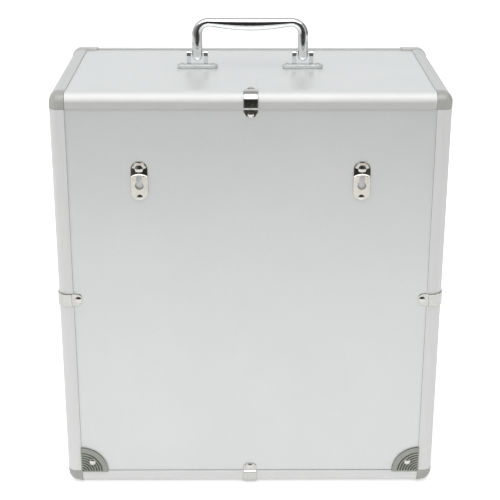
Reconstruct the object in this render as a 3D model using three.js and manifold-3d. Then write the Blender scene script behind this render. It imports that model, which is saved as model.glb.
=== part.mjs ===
// A wall-hung phone storage case: silver panels in rounded aluminium edge profiles, with plastic
// corner caps, a folding top handle and two keyhole hanger plates on its rear face. A clear door
// on a continuous hinge closes the front over an egg-crate of phone slots, held by two draw latches.
//
// Millimetres, +Z up. The rear face looks along -Y and the door along +Y.

import * as THREE from 'three';
import { mergeVertices } from 'three/addons/utils/BufferGeometryUtils.js';
import { RoundedBoxGeometry } from 'three/addons/geometries/RoundedBoxGeometry.js';
import Module from 'manifold-3d';

const wasm = await Module();
wasm.setup();

// Case, measured over the edge profiles
const caseWidth = 380;
const caseDepth = 215;
const caseHeight = 417.4;

// Panels and the profiles that grip them
const panelThickness = 4;
const panelGap = 0.2;
const profileLeg = 15;
const profileRadius = 9;
const profileWall = 1;
const profileCore = 8.3;
const profileFin = 1.2;
const profileFinReach = 13;
const frontLeg = 21;
const frontJamb = 5;
const seamGap = 0.3;

// Corner caps
const capWall = 0.8;
const rearCapReach = 15;
const rearCapProud = 0.2;
const frontCapReach = 26;
const frontCapDepth = 17;
const frontCapProud = 1.2;

// Ribbed fan plates on the lower rear corners
const fanRadius = 28.6;
const fanThickness = 1.8;
const fanGrooveCount = 8;
const fanGroovePitch = 2.7;
const fanGrooveWidth = 1.1;
const fanGrooveDepth = 0.8;
const fanRivetReach = 15;

// Riveted metal parts share these
const seat = 0.2;
const headSink = 0.3;
const rivetRadius = 3.3;
const rivetHeight = 1.6;
const smallRivetRadius = 2.6;
const smallRivetHeight = 1.3;
const tinyRivetRadius = 1.8;
const tinyRivetHeight = 0.8;

// Edge clips round the middle of each rear edge
const clipLeg = 23.5;
const clipWidth = 14;
const clipThickness = 0.9;
const clipRivetReach = 19;

// Keyhole hanger plates
const plateSpacing = 212.8;
const plateDrop = 84.9;
const plateWidth = 16;
const plateHeight = 39.8;
const plateThickness = 1.5;
const plateRise = 2.8;
const plateRaisedTop = 6.9;
const plateRaisedBottom = 11.3;
const plateRampRun = 1.8;
const plateRivetTop = 14.1;
const plateRivetBottom = 15;
const keyholeRadius = 4.2;
const keyholeDrop = 4.6;
const keySlotWidth = 5;
const keySlotTop = 5.5;

// Handle and its two brackets
const handleSpacing = 106.6;
const handleSetback = 6;
const handleLegWidth = 10.4;
const handleLegDepth = 10;
const handleTop = 50.8;
const handleBendRadius = 12;
const handleEndThickness = 8.6;
const handleGripThickness = 12.8;
const handleGripDepth = 12.8;
const handlePinHeight = 14.9;
const handleLegTail = 7.5;
const handlePinRadius = 1.6;
const bracketLength = 41;
const bracketDepth = 10.4;
const bracketHeight = 3.8;
const bracketRivetReach = 15.4;
const earWidth = 4.2;
const earGap = 1.3;
const earThickness = 1.8;
const knuckleRadius = 2.8;
const runningGap = 0.1;

// Egg-crate of phone slots
const boardThickness = 4;
const slotRows = 4;
const slotColumns = 5;
const boardGap = 0.3;
const lapGap = 0.2;
const boardDoorGap = 0.6;

// Door
const doorGap = 1;
const doorThickness = 14;
const railWidth = 27;
const railWall = 1.6;
const railEdgeRadius = 1.6;
const paneThickness = 3;
const paneGap = 0.2;
const paneInset = 8;
const paneDepth = 5;
const mitreGap = 0.15;

// Continuous hinge on the front face
const hingeEndReach = 31;
const hingeLeafWidth = 10.6;
const hingeLeafThickness = 1.2;
const hingeBarrelRadius = 2.6;
const hingePinRadius = 1.2;
const hingeBarrels = 9;
const hingeBarrelGap = 0.4;
const hingeRootOverlap = 2;
const hingeRivets = 5;
const hingeRivetEnd = 14;

// Draw latches on the other side of the door
const latchSpacing = 220;
const latchSheet = 1.2;
const latchBaseStart = 1;
const latchBaseEnd = 25;
const latchBaseHalfHeight = 18;
const latchBaseRivetInset = 5;
const latchBaseRivetHeight = 15.5;
const latchPivotReach = 9;
const latchPivotHeight = 5;
const latchPivotRadius = 1.2;
const latchEarOuter = 13;
const latchEarThickness = 1.5;
const latchEarRadius = 2.6;
const latchEarFoot = 5;
const latchSideGap = 0.5;
const leverCheek = 1.5;
const leverPlateStart = 16;
const leverPlateEnd = 27;
const leverPlateThickness = 1.5;
const leverLipRun = 2;
const leverLipRise = 1;
const leverTailHeight = 2.4;
const clawOffset = 3;
const clawOffsetAngle = -10;
const clawThickness = 1.5;
const clawKnuckleRadius = 2.2;
const clawHalfWidth = 7;
const catchStart = 12;
const catchEnd = 1.6;
const catchHalfHeight = 16;
const catchRivetReach = 8.5;
const catchRivetHeight = 12.5;
const catchLipReach = 3;
const catchLipThickness = 1.5;
const catchLipHeight = 2;
const catchLipHalfWidth = 6.5;
const clawTipGap = 0.3;
const clawTipFloat = 0.4;

// Lock cylinder in each lever, and the keeper that its cam turns under
const lockReach = 21;
const lockRadius = 3.6;
const lockCollarRadius = 4.5;
const lockCollarThickness = 0.8;
const lockFoot = 3.2;
const camThickness = 1;
const camReach = 6.2;
const camHalfWidth = 1.8;
const keySlotLength = 4;
const keySlotGap = 0.9;
const keySlotDepth = 1.4;
const keeperHalfLength = 2;
const keeperInner = 4.6;
const keeperOuter = 8;
const keeperWall = 1.1;
const keeperGap = 0.5;

// How far a cutting tool runs past what it cuts
const overrun = 6;

// Points on curves
const arcSteps = 6;
const roundSteps = 8;
const sphereSteps = 4;
const tinySteps = 2;
const mergeDistance = 0.0001;

// Values worked out from the sizes above
const halfWidth = caseWidth / 2;
const panelFace = profileWall + panelGap;
const panelBack = panelFace + panelThickness;
const pocketBack = panelBack + panelGap;
const finBack = pocketBack + profileFin;
const panelEdge = profileCore + panelGap;
const handleY = caseDepth / 2 + handleSetback;
const pinZ = caseHeight - panelFace + handlePinHeight;
const doorEdge = frontLeg + doorGap;
const hingeAxisReach = frontLeg + doorGap / 2;
const hingeAxisHeight = seat + hingeBarrelRadius;
const clawPivotReach = latchPivotReach + clawOffset * Math.cos(THREE.MathUtils.degToRad(clawOffsetAngle));
const clawPivotHeight = latchPivotHeight + clawOffset * Math.sin(THREE.MathUtils.degToRad(clawOffsetAngle));
const leverTop = latchPivotHeight + latchEarRadius;
const cheekOuter = latchEarOuter - latchEarThickness - latchSideGap;

// Radius, height and roundness of each rivet head
const plainRivet = [rivetRadius, rivetHeight, sphereSteps];
const smallRivet = [smallRivetRadius, smallRivetHeight, sphereSteps];
const tinyRivet = [tinyRivetRadius, tinyRivetHeight, tinySteps];

const xAxis = new THREE.Vector3(1, 0, 0);
const yAxis = new THREE.Vector3(0, 1, 0);
const zAxis = new THREE.Vector3(0, 0, 1);

const looks = {
  laminate: { color: 0xd6d9d8, roughness: 0.5, metalness: 0.25 },
  profile: { color: 0xd2d3d2, roughness: 0.38, metalness: 0.85 },
  corner: { color: 0xa9aba6, roughness: 0.55, metalness: 0 },
  fan: { color: 0x8a8c85, roughness: 0.6, metalness: 0 },
  nickel: { color: 0xd8d2c8, roughness: 0.22, metalness: 1 },
  chrome: { color: 0xe4e6e8, roughness: 0.08, metalness: 1 },
  board: { color: 0x2e3033, roughness: 0.85, metalness: 0 },
  acrylic: { color: 0xeef4f6, roughness: 0.05, metalness: 0 },
  brass: { color: 0xc9a45c, roughness: 0.3, metalness: 1 },
};

const phoneCase = new THREE.Group();

// Signed volume of a triangle mesh, which is negative when its faces point inwards.
function signedVolume(position, index) {
  const a = new THREE.Vector3();
  const b = new THREE.Vector3();
  const c = new THREE.Vector3();
  let total = 0;
  for (let i = 0; i < index.length; i += 3) {
    a.fromArray(position, index[i] * 3);
    b.fromArray(position, index[i + 1] * 3);
    c.fromArray(position, index[i + 2] * 3);
    total += a.dot(b.cross(c)) / 6;
  }
  return total;
}

// A closed solid from a geometry, with its faces pointing out and no empty triangles.
function toSolid(geometry) {
  const bare = geometry.clone();
  bare.deleteAttribute('normal');
  bare.deleteAttribute('uv');
  const merged = mergeVertices(bare, mergeDistance);
  const position = new Float32Array(merged.attributes.position.array);
  const kept = [];
  for (let i = 0; i < merged.index.count; i += 3) {
    const corners = [merged.index.getX(i), merged.index.getX(i + 1), merged.index.getX(i + 2)];
    if (new Set(corners).size === 3) {
      kept.push(...corners);
    }
  }
  if (signedVolume(position, kept) < 0) {
    kept.reverse();
  }
  const mesh = new wasm.Mesh({ numProp: 3, vertProperties: position, triVerts: new Uint32Array(kept) });
  return new wasm.Manifold(mesh);
}

function toGeometry(solid) {
  const mesh = solid.getMesh();
  const geometry = new THREE.BufferGeometry();
  geometry.setAttribute('position', new THREE.BufferAttribute(new Float32Array(mesh.vertProperties), 3));
  geometry.setIndex(new THREE.BufferAttribute(new Uint32Array(mesh.triVerts), 1));
  geometry.computeVertexNormals();
  return geometry;
}

function addPart(name, solid, look, parent = phoneCase) {
  const mesh = new THREE.Mesh(toGeometry(solid), new THREE.MeshStandardMaterial(looks[look]));
  mesh.name = name;
  parent.add(mesh);
  return mesh;
}

function block(low, high) {
  const size = high.map((value, i) => value - low[i]);
  const geometry = new THREE.BoxGeometry(...size);
  geometry.translate(...low.map((value, i) => value + size[i] / 2));
  return toSolid(geometry);
}

// An outline drawn in the plane across the named axis and drawn out along it. Across Z its points
// are (x, y), across X they are (y, z) and across Y they are (x, z).
function prismGeometry(shape, axis, from, to, curveSegments = roundSteps) {
  const settings = { depth: to - from, steps: 1, bevelEnabled: false, curveSegments };
  const geometry = new THREE.ExtrudeGeometry(shape, settings);
  if (axis === 'y') {
    geometry.translate(0, 0, -to);
    geometry.applyMatrix4(new THREE.Matrix4().makeBasis(xAxis, zAxis, yAxis.clone().negate()));
    return geometry;
  }
  geometry.translate(0, 0, from);
  if (axis === 'x') {
    geometry.applyMatrix4(new THREE.Matrix4().makeBasis(yAxis, zAxis, xAxis));
  }
  return geometry;
}

function prism(shape, axis, from, to, curveSegments = roundSteps) {
  return toSolid(prismGeometry(shape, axis, from, to, curveSegments));
}

function outline(points) {
  return new THREE.Shape(points.map(([p, q]) => new THREE.Vector2(p, q)));
}

function disc(p, q, radius) {
  return new THREE.Shape().absarc(p, q, radius, 0, 2 * Math.PI);
}

function rod(axis, p, q, radius, from, to) {
  return prism(disc(p, q, radius), axis, from, to);
}

function arcPoints(p, q, radius, startDegrees, endDegrees, steps = arcSteps) {
  const points = [];
  for (let i = 0; i <= steps; i += 1) {
    const angle = THREE.MathUtils.degToRad(startDegrees + ((endDegrees - startDegrees) * i) / steps);
    points.push([p + radius * Math.cos(angle), q + radius * Math.sin(angle)]);
  }
  return points;
}

// A low domed rivet head whose foot is sunk into the sheet that it fuses with. The sheet's outer
// face is at the given point, and the head stands out along the given direction.
function rivetHead(point, direction, [radius, height, steps]) {
  const profile = [new THREE.Vector2(0, -headSink), new THREE.Vector2(radius, -headSink)];
  for (let i = 0; i <= steps; i += 1) {
    const angle = (Math.PI / 2) * (i / steps);
    profile.push(new THREE.Vector2(i === steps ? 0 : radius * Math.cos(angle), height * Math.sin(angle)));
  }
  const geometry = new THREE.LatheGeometry(profile, roundSteps + 2 * steps);
  geometry.applyQuaternion(new THREE.Quaternion().setFromUnitVectors(yAxis, direction));
  geometry.translate(...point);
  return toSolid(geometry);
}

// Corner space: distances inwards from the three faces that meet at one corner of the case.
function cornerMatrix(sideX, sideY, sideZ) {
  const middleY = caseDepth / 2;
  const middleZ = caseHeight / 2;
  return new THREE.Matrix4().makeTranslation(
    sideX * halfWidth,
    middleY + sideY * middleY,
    middleZ + sideZ * middleZ,
  ).multiply(new THREE.Matrix4().makeScale(-sideX, -sideY, -sideZ));
}

function inCorner(solid, sideX, sideY, sideZ) {
  return toSolid(toGeometry(solid).applyMatrix4(cornerMatrix(sideX, sideY, sideZ)));
}

function addPanels() {
  const face = { low: panelEdge, out: panelFace, back: panelBack };
  addPart('back_panel', block(
    [-halfWidth + face.low, face.out, face.low],
    [halfWidth - face.low, face.back, caseHeight - face.low],
  ), 'laminate');
  for (const [name, side] of [['left_panel', -1], ['right_panel', 1]]) {
    const reach = [side * (halfWidth - face.out), side * (halfWidth - face.back)];
    addPart(name, block(
      [Math.min(...reach), face.low, face.low],
      [Math.max(...reach), caseDepth - face.low, caseHeight - face.low],
    ), 'laminate');
  }
  for (const [name, low] of [['bottom_panel', face.out], ['top_panel', caseHeight - face.back]]) {
    addPart(name, block(
      [-halfWidth + face.low, face.low, low],
      [halfWidth - face.low, caseDepth - face.low, low + panelThickness],
    ), 'laminate');
  }
}

// Section of the edge profile, as distances inwards from the two faces that meet at the edge. The
// rounded outside has a pocket on its inside for the edge of each panel.
function profileSection() {
  return outline([
    [profileLeg, 0],
    ...arcPoints(profileRadius, profileRadius, profileRadius, 270, 180),
    [0, profileLeg],
    [profileWall, profileLeg],
    [profileWall, profileCore],
    [pocketBack, profileCore],
    [pocketBack, profileFinReach],
    [finBack, profileFinReach],
    [finBack, profileCore],
    [profileCore, profileCore],
    [profileCore, finBack],
    [profileFinReach, finBack],
    [profileFinReach, pocketBack],
    [profileCore, pocketBack],
    [profileCore, profileWall],
    [profileLeg, profileWall],
  ]);
}

// Section of a front edge profile. Its first distance runs inwards over the front face, where the
// wide leg ends in a short jamb beside the door, and its second runs back over the side.
function frontSection() {
  return outline([
    [frontLeg, 0],
    ...arcPoints(profileRadius, profileRadius, profileRadius, 270, 180),
    [0, profileLeg],
    [profileWall, profileLeg],
    [profileWall, profileCore],
    [pocketBack, profileCore],
    [pocketBack, profileFinReach],
    [finBack, profileFinReach],
    [finBack, profileCore],
    [profileCore, profileCore],
    [profileCore, profileWall],
    [frontLeg - profileWall, profileWall],
    [frontLeg - profileWall, frontJamb],
    [frontLeg, frontJamb],
  ]);
}

// Each bar is made in corner space, from one corner cap to the next.
function addProfiles() {
  const rearEnd = rearCapReach + seamGap;
  const frontEnd = frontCapReach + seamGap;
  const frontDepthEnd = frontCapDepth + seamGap;
  const section = profileSection();
  const front = frontSection();

  const rearAcross = prism(swapped(section), 'x', rearEnd, caseWidth - rearEnd);
  const rearUpright = prism(section, 'z', rearEnd, caseHeight - rearEnd);
  const depthBar = prism(section, 'y', rearEnd, caseDepth - frontDepthEnd);
  const frontAcross = prism(swapped(front), 'x', frontEnd, caseWidth - frontEnd);
  const frontUpright = prism(front, 'z', frontEnd, caseHeight - frontEnd);

  for (const [level, sideZ] of [['top', 1], ['bottom', -1]]) {
    addPart(`rear_${level}_profile`, inCorner(rearAcross, -1, -1, sideZ), 'profile');
    addPart(`front_${level}_profile`, inCorner(frontAcross, -1, 1, sideZ), 'profile');
  }
  for (const [hand, sideX] of [['left', -1], ['right', 1]]) {
    addPart(`rear_${hand}_profile`, inCorner(rearUpright, sideX, -1, -1), 'profile');
    addPart(`front_${hand}_profile`, inCorner(frontUpright, sideX, 1, -1), 'profile');
    for (const [level, sideZ] of [['top', 1], ['bottom', -1]]) {
      addPart(`${level}_${hand}_profile`, inCorner(depthBar, sideX, -1, sideZ), 'profile');
    }
  }
}

// The same outline with its two distances changed over, for a bar that runs across.
function swapped(shape) {
  return outline(shape.getPoints().map((point) => [point.y, point.x]));
}

// A rounded box over the case, standing proud of it by the given amount, in corner space.
function roundedCase(proud) {
  const size = [caseWidth, caseDepth, caseHeight].map((value) => value + 2 * proud);
  const geometry = new RoundedBoxGeometry(...size, sphereSteps, profileRadius + proud);
  geometry.translate(caseWidth / 2, caseDepth / 2, caseHeight / 2);
  return toSolid(geometry);
}

function addCornerCaps() {
  const hollow = roundedCase(-capWall);
  const rearCap = roundedCase(rearCapProud)
    .intersect(block([-overrun, -overrun, -overrun], [rearCapReach, rearCapReach, rearCapReach]))
    .subtract(hollow);
  const doorway = block(
    [frontLeg, -overrun, frontLeg],
    [frontCapReach + overrun, frontCapDepth + overrun, frontCapReach + overrun],
  );
  const frontCap = roundedCase(frontCapProud)
    .intersect(block([-overrun, -overrun, -overrun], [frontCapReach, frontCapDepth, frontCapReach]))
    .subtract(hollow)
    .subtract(doorway);
  for (const [level, sideZ] of [['top', 1], ['bottom', -1]]) {
    for (const [hand, sideX] of [['left', -1], ['right', 1]]) {
      addPart(`rear_${level}_${hand}_cap`, inCorner(rearCap, sideX, -1, sideZ), 'corner');
      addPart(`front_${level}_${hand}_cap`, inCorner(frontCap, sideX, 1, sideZ), 'corner');
    }
  }
}

// A quarter disc that fills a corner of the rear panel, grooved in arcs round that corner.
function addFanPlates() {
  const inner = profileLeg + seamGap;
  const outer = panelFace - seat;
  const quarter = new THREE.Shape();
  quarter.moveTo(inner, inner);
  quarter.absarc(inner, inner, fanRadius, 0, Math.PI / 2);
  quarter.lineTo(inner, inner);
  let fan = prism(quarter, 'y', outer - fanThickness, outer, 2 * roundSteps);
  for (let i = 1; i <= fanGrooveCount; i += 1) {
    const radius = i * fanGroovePitch;
    const ring = disc(inner, inner, radius + fanGrooveWidth / 2);
    ring.holes.push(disc(inner, inner, radius - fanGrooveWidth / 2));
    fan = fan.subtract(prism(
      ring, 'y', outer - fanThickness - overrun, outer - fanThickness + fanGrooveDepth, 2 * roundSteps,
    ));
  }
  const rivetPlace = inner + fanRivetReach * Math.SQRT1_2;
  const boss = rod('y', rivetPlace, rivetPlace, rivetRadius, outer - fanThickness, outer);
  const head = rivetHead([rivetPlace, outer - fanThickness, rivetPlace], yAxis.clone().negate(), plainRivet);
  fan = fan.add(boss).add(head);
  addPart('left_fan_plate', inCorner(fan, -1, -1, -1), 'fan');
  addPart('right_fan_plate', inCorner(fan, 1, -1, -1), 'fan');
}

// Outline of a strap from the given start to its round end, drawn along the second distance.
function strapOutline(middle) {
  const half = clipWidth / 2;
  const straight = clipLeg - half;
  const strap = new THREE.Shape();
  strap.moveTo(middle - half, -overrun);
  strap.lineTo(middle + half, -overrun);
  strap.lineTo(middle + half, straight);
  strap.absarc(middle, straight, half, 0, Math.PI);
  strap.lineTo(middle - half, -overrun);
  return strap;
}

// A strap bent round a rear edge, in corner space: its first leg lies on the rear face and its
// second on the side. The edge runs along X or up Z, and a dome rivet holds each leg that is
// marked as domed. The leg that the case stands on has a flush rivet instead.
function clipSolid(axis, middle, domedSide) {
  const inner = -seat;
  const outer = -seat - clipThickness;
  const deep = clipLeg + overrun;
  const section = outline([
    [clipLeg, outer],
    ...arcPoints(profileRadius, profileRadius, profileRadius - outer, 270, 180),
    [outer, clipLeg],
    [inner, clipLeg],
    ...arcPoints(profileRadius, profileRadius, profileRadius - inner, 180, 270),
    [clipLeg, inner],
  ]);
  const across = axis === 'x';
  const end = across ? strapOutline(middle) : swapped(strapOutline(middle));
  const rearRivet = across ? [middle, outer, clipRivetReach] : [clipRivetReach, outer, middle];
  const sideRivet = across ? [middle, clipRivetReach, outer] : [outer, clipRivetReach, middle];
  const sideways = across ? zAxis : xAxis;
  const strap = prism(section, axis, middle - clipWidth / 2, middle + clipWidth / 2)
    .intersect(prism(end, 'y', -overrun, deep))
    .intersect(prism(end, across ? 'z' : 'x', -overrun, deep))
    .add(rivetHead(rearRivet, yAxis.clone().negate(), smallRivet));
  if (!domedSide) {
    return strap;
  }
  return strap.add(rivetHead(sideRivet, sideways.clone().negate(), smallRivet));
}

function addEdgeClips() {
  addPart('top_edge_clip', inCorner(clipSolid('x', halfWidth, true), -1, -1, 1), 'nickel');
  addPart('bottom_edge_clip', inCorner(clipSolid('x', halfWidth, false), -1, -1, -1), 'nickel');
  const upright = clipSolid('z', caseHeight / 2, true);
  addPart('left_edge_clip', inCorner(upright, -1, -1, -1), 'nickel');
  addPart('right_edge_clip', inCorner(upright, 1, -1, -1), 'nickel');
}

// A hanger plate whose raised middle stands off the panel, with a round hole and a slot above it
// for a screw head. It is made round the origin, with its back on the plane y = 0.
function keyholePlate() {
  const bottom = -plateHeight / 2;
  const top = plateHeight / 2;
  const low = -plateThickness;
  const high = -plateThickness - plateRise;
  const sheet = outline([
    [0, bottom],
    [low, bottom],
    [low, -plateRaisedBottom],
    [high, plateRampRun - plateRaisedBottom],
    [high, plateRaisedTop - plateRampRun],
    [low, plateRaisedTop],
    [low, top],
    [0, top],
    [0, plateRaisedTop],
    [-plateRise, plateRaisedTop - plateRampRun],
    [-plateRise, plateRampRun - plateRaisedBottom],
    [0, -plateRaisedBottom],
  ]);
  const half = plateWidth / 2;
  const lobes = new THREE.Shape();
  lobes.moveTo(half, bottom + half);
  lobes.lineTo(half, top - half);
  lobes.absarc(0, top - half, half, 0, Math.PI);
  lobes.lineTo(-half, bottom + half);
  lobes.absarc(0, bottom + half, half, Math.PI, 2 * Math.PI);
  const slotTopCentre = keySlotTop - keySlotWidth / 2;
  const slot = outline([
    [keySlotWidth / 2, -keyholeDrop],
    ...arcPoints(0, slotTopCentre, keySlotWidth / 2, 0, 180),
    [-keySlotWidth / 2, -keyholeDrop],
  ]);
  const forward = yAxis.clone().negate();
  return prism(sheet, 'x', -half, half)
    .intersect(prism(lobes, 'y', high - overrun, overrun))
    .subtract(rod('y', 0, -keyholeDrop, keyholeRadius, high - overrun, overrun))
    .subtract(prism(slot, 'y', high - overrun, overrun))
    .add(rivetHead([0, low, plateRivetTop], forward, plainRivet))
    .add(rivetHead([0, low, -plateRivetBottom], forward, plainRivet));
}

function addKeyholePlates() {
  const plate = keyholePlate();
  for (const [name, side] of [['left_keyhole_plate', -1], ['right_keyhole_plate', 1]]) {
    const mesh = addPart(name, plate, 'nickel');
    mesh.position.set(side * (plateSpacing / 2), panelFace - seat, caseHeight - plateDrop);
  }
}

// A closed skin over a row of rings, with a point at each end.
function loft(rings, startPoint, endPoint) {
  const around = rings[0].length;
  const position = [...startPoint];
  rings.forEach((ring) => ring.forEach((point) => position.push(...point)));
  position.push(...endPoint);
  const last = 1 + rings.length * around;
  const index = [];
  for (let i = 0; i < around; i += 1) {
    const next = (i + 1) % around;
    index.push(0, 1 + next, 1 + i);
    for (let j = 0; j < rings.length - 1; j += 1) {
      const here = 1 + j * around;
      const there = here + around;
      index.push(here + i, here + next, there + next, here + i, there + next, there + i);
    }
    const end = last - around;
    index.push(last, end + i, end + next);
  }
  const geometry = new THREE.BufferGeometry();
  geometry.setAttribute('position', new THREE.Float32BufferAttribute(position, 3));
  geometry.setIndex(index);
  return toSolid(geometry);
}

// Centre line of the handle from its left foot to its right foot, in the plane of the handle with
// its pins on height 0. Each stop has its place, its direction, its thickness in that plane and
// its depth across it.
function handleStops() {
  const legX = handleSpacing / 2;
  const topZ = handleTop - handlePinHeight;
  const bendTop = topZ - handleEndThickness / 2;
  const bendZ = bendTop - handleBendRadius;
  const stops = [];
  const footRounding = handleLegWidth / 2;
  for (let i = 1; i < sphereSteps; i += 1) {
    const angle = (Math.PI / 2) * (i / sphereSteps);
    stops.push({
      x: -legX, z: -handleLegTail + footRounding * (1 - Math.cos(angle)), turn: 90,
      thick: handleLegWidth * Math.sin(angle), deep: handleLegDepth * Math.sin(angle),
    });
  }
  for (const z of [footRounding - handleLegTail, 0, bendZ]) {
    stops.push({ x: -legX, z, turn: 90, thick: handleLegWidth, deep: handleLegDepth });
  }
  for (let i = 1; i <= arcSteps; i += 1) {
    const share = i / arcSteps;
    const angle = THREE.MathUtils.degToRad(180 - 90 * share);
    stops.push({
      x: -legX + handleBendRadius + handleBendRadius * Math.cos(angle),
      z: bendZ + handleBendRadius * Math.sin(angle),
      turn: 90 - 90 * share,
      thick: handleLegWidth + (handleEndThickness - handleLegWidth) * share,
      deep: handleLegDepth,
    });
  }
  const gripHalf = legX - handleBendRadius;
  const gripSteps = 2 * arcSteps;
  for (let i = 1; i <= gripSteps / 2; i += 1) {
    const share = i / (gripSteps / 2);
    const swell = Math.sin((Math.PI / 2) * share);
    const thick = handleEndThickness + (handleGripThickness - handleEndThickness) * swell;
    stops.push({
      x: -gripHalf * (1 - share), z: topZ - thick / 2, turn: 0, thick,
      deep: handleLegDepth + (handleGripDepth - handleLegDepth) * swell,
    });
  }
  const mirrored = stops.slice(0, -1).reverse().map((stop) => ({ ...stop, x: -stop.x, turn: -stop.turn }));
  return [...stops, ...mirrored];
}

function handleBail() {
  const rings = handleStops().map((stop) => {
    const turn = THREE.MathUtils.degToRad(stop.turn);
    const ring = [];
    for (let i = 0; i < 2 * roundSteps; i += 1) {
      const angle = (2 * Math.PI * i) / (2 * roundSteps);
      const side = (stop.thick / 2) * Math.cos(angle);
      ring.push([
        stop.x - side * Math.sin(turn), (stop.deep / 2) * Math.sin(angle), stop.z + side * Math.cos(turn),
      ]);
    }
    return ring;
  });
  const legX = handleSpacing / 2;
  let bail = loft(rings, [-legX, 0, -handleLegTail], [legX, 0, -handleLegTail]);
  const pinReach = handleLegWidth / 2 + earGap + earWidth;
  for (const side of [-1, 1]) {
    bail = bail.add(rod('x', 0, 0, handlePinRadius, side * legX - pinReach, side * legX + pinReach));
  }
  return bail;
}

// A pressed foot with two rolled ears that hold one pin of the handle. It is made round the
// origin, with its underside on z = 0.
function handleBracket() {
  const half = bracketLength / 2;
  const end = bracketDepth / 2;
  const foot = new THREE.Shape();
  foot.moveTo(half - end, -end);
  foot.absarc(half - end, 0, end, -Math.PI / 2, Math.PI / 2);
  foot.absarc(end - half, 0, end, Math.PI / 2, 1.5 * Math.PI);
  let bracket = prism(foot, 'z', 0, bracketHeight);
  const earStart = handleLegWidth / 2 + earGap;
  const pin = handlePinHeight - seat;
  for (const from of [-earStart - earWidth, earStart]) {
    const to = from + earWidth;
    bracket = bracket
      .add(block([from, -earThickness / 2, bracketHeight / 2], [to, earThickness / 2, pin]))
      .add(rod('x', 0, pin, knuckleRadius, from, to));
  }
  bracket = bracket.subtract(rod('x', 0, pin, handlePinRadius + runningGap, -half, half));
  for (const side of [-1, 1]) {
    bracket = bracket.add(rivetHead([side * bracketRivetReach, 0, bracketHeight], zAxis, smallRivet));
  }
  return bracket;
}

function addHandle() {
  const topFace = caseHeight - panelFace;
  for (const [name, side] of [['left_handle_bracket', -1], ['right_handle_bracket', 1]]) {
    const mesh = addPart(name, handleBracket(), 'chrome');
    mesh.position.set(side * (handleSpacing / 2), handleY, topFace + seat);
  }
  const bail = addPart('handle_bail', handleBail(), 'chrome');
  bail.position.set(0, handleY, pinZ);
}

// Boards notched half way into each other, between the inner faces of the panels. Shelves are
// notched from the front and dividers from the rear, so each slides over the other, and the rear
// corners of both are cut away round the profiles.
function addEggCrate() {
  const left = -halfWidth + panelBack + boardGap;
  const right = -left;
  const floor = panelBack + boardGap;
  const ceiling = caseHeight - floor;
  const rear = panelBack + boardGap;
  const cut = profileFinReach - panelBack;
  const front = caseDepth - doorThickness - boardDoorGap;
  const middle = (rear + front) / 2;
  const notchHalf = boardThickness / 2 + lapGap;
  const shelfPlaces = evenPlaces(floor, ceiling, slotRows);
  const dividerPlaces = evenPlaces(left, right, slotColumns);

  const shelfPoints = [
    [left, rear + cut], [left + cut, rear + cut], [left + cut, rear],
    [right - cut, rear], [right - cut, rear + cut], [right, rear + cut],
    [right, front],
  ];
  for (const place of [...dividerPlaces].reverse()) {
    shelfPoints.push(
      [place + notchHalf, front], [place + notchHalf, middle - lapGap],
      [place - notchHalf, middle - lapGap], [place - notchHalf, front],
    );
  }
  shelfPoints.push([left, front]);
  shelfPlaces.forEach((place, i) => {
    const low = place - boardThickness / 2;
    addPart(`shelf_${i + 1}`, prism(outline(shelfPoints), 'z', low, low + boardThickness), 'board');
  });

  const dividerPoints = [
    [rear + cut, floor], [front, floor], [front, ceiling],
    [rear + cut, ceiling], [rear + cut, ceiling - cut], [rear, ceiling - cut],
  ];
  for (const place of [...shelfPlaces].reverse()) {
    dividerPoints.push(
      [rear, place + notchHalf], [middle + lapGap, place + notchHalf],
      [middle + lapGap, place - notchHalf], [rear, place - notchHalf],
    );
  }
  dividerPoints.push([rear, floor + cut], [rear + cut, floor + cut]);
  dividerPlaces.forEach((place, i) => {
    const low = place - boardThickness / 2;
    addPart(`divider_${i + 1}`, prism(outline(dividerPoints), 'x', low, low + boardThickness), 'board');
  });
}

// Centres of the boards that share the space between two walls into equal slots.
function evenPlaces(from, to, slots) {
  const clear = (to - from - (slots - 1) * boardThickness) / slots;
  return Array.from({ length: slots - 1 }, (_, i) => from + (i + 1) * clear + (i + 0.5) * boardThickness);
}

// Section of a door rail: its first distance runs inwards from the outer edge of the door and its
// second back from the front. A hollow chamber lightens it, and a groove holds the pane.
function railSection() {
  const grooveStart = railWidth - paneInset;
  const grooveFront = paneDepth - paneGap;
  const grooveBack = paneDepth + paneThickness + paneGap;
  const rail = outline([
    ...arcPoints(railEdgeRadius, railEdgeRadius, railEdgeRadius, 180, 270, arcSteps / 2),
    ...arcPoints(railWidth - railEdgeRadius, railEdgeRadius, railEdgeRadius, 270, 360, arcSteps / 2),
    [railWidth, grooveFront],
    [grooveStart, grooveFront],
    [grooveStart, grooveBack],
    [railWidth, grooveBack],
    [railWidth, doorThickness],
    [0, doorThickness],
  ]);
  const chamberEnd = grooveStart - railWall;
  rail.holes.push(new THREE.Path([
    new THREE.Vector2(railWall, railWall),
    new THREE.Vector2(railWall, doorThickness - railWall),
    new THREE.Vector2(chamberEnd, doorThickness - railWall),
    new THREE.Vector2(chamberEnd, railWall),
  ]));
  return rail;
}

// A rail in its own space: x inwards from the door's outer edge, y back from its front and z along
// the rail, with both ends cut at 45 degrees.
function mitredRail(length) {
  const geometry = prismGeometry(railSection(), 'z', 0, length);
  const position = geometry.attributes.position;
  for (let i = 0; i < position.count; i += 1) {
    const trim = position.getX(i) + mitreGap;
    position.setZ(i, position.getZ(i) < length / 2 ? trim : length - trim);
  }
  return geometry;
}

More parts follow.
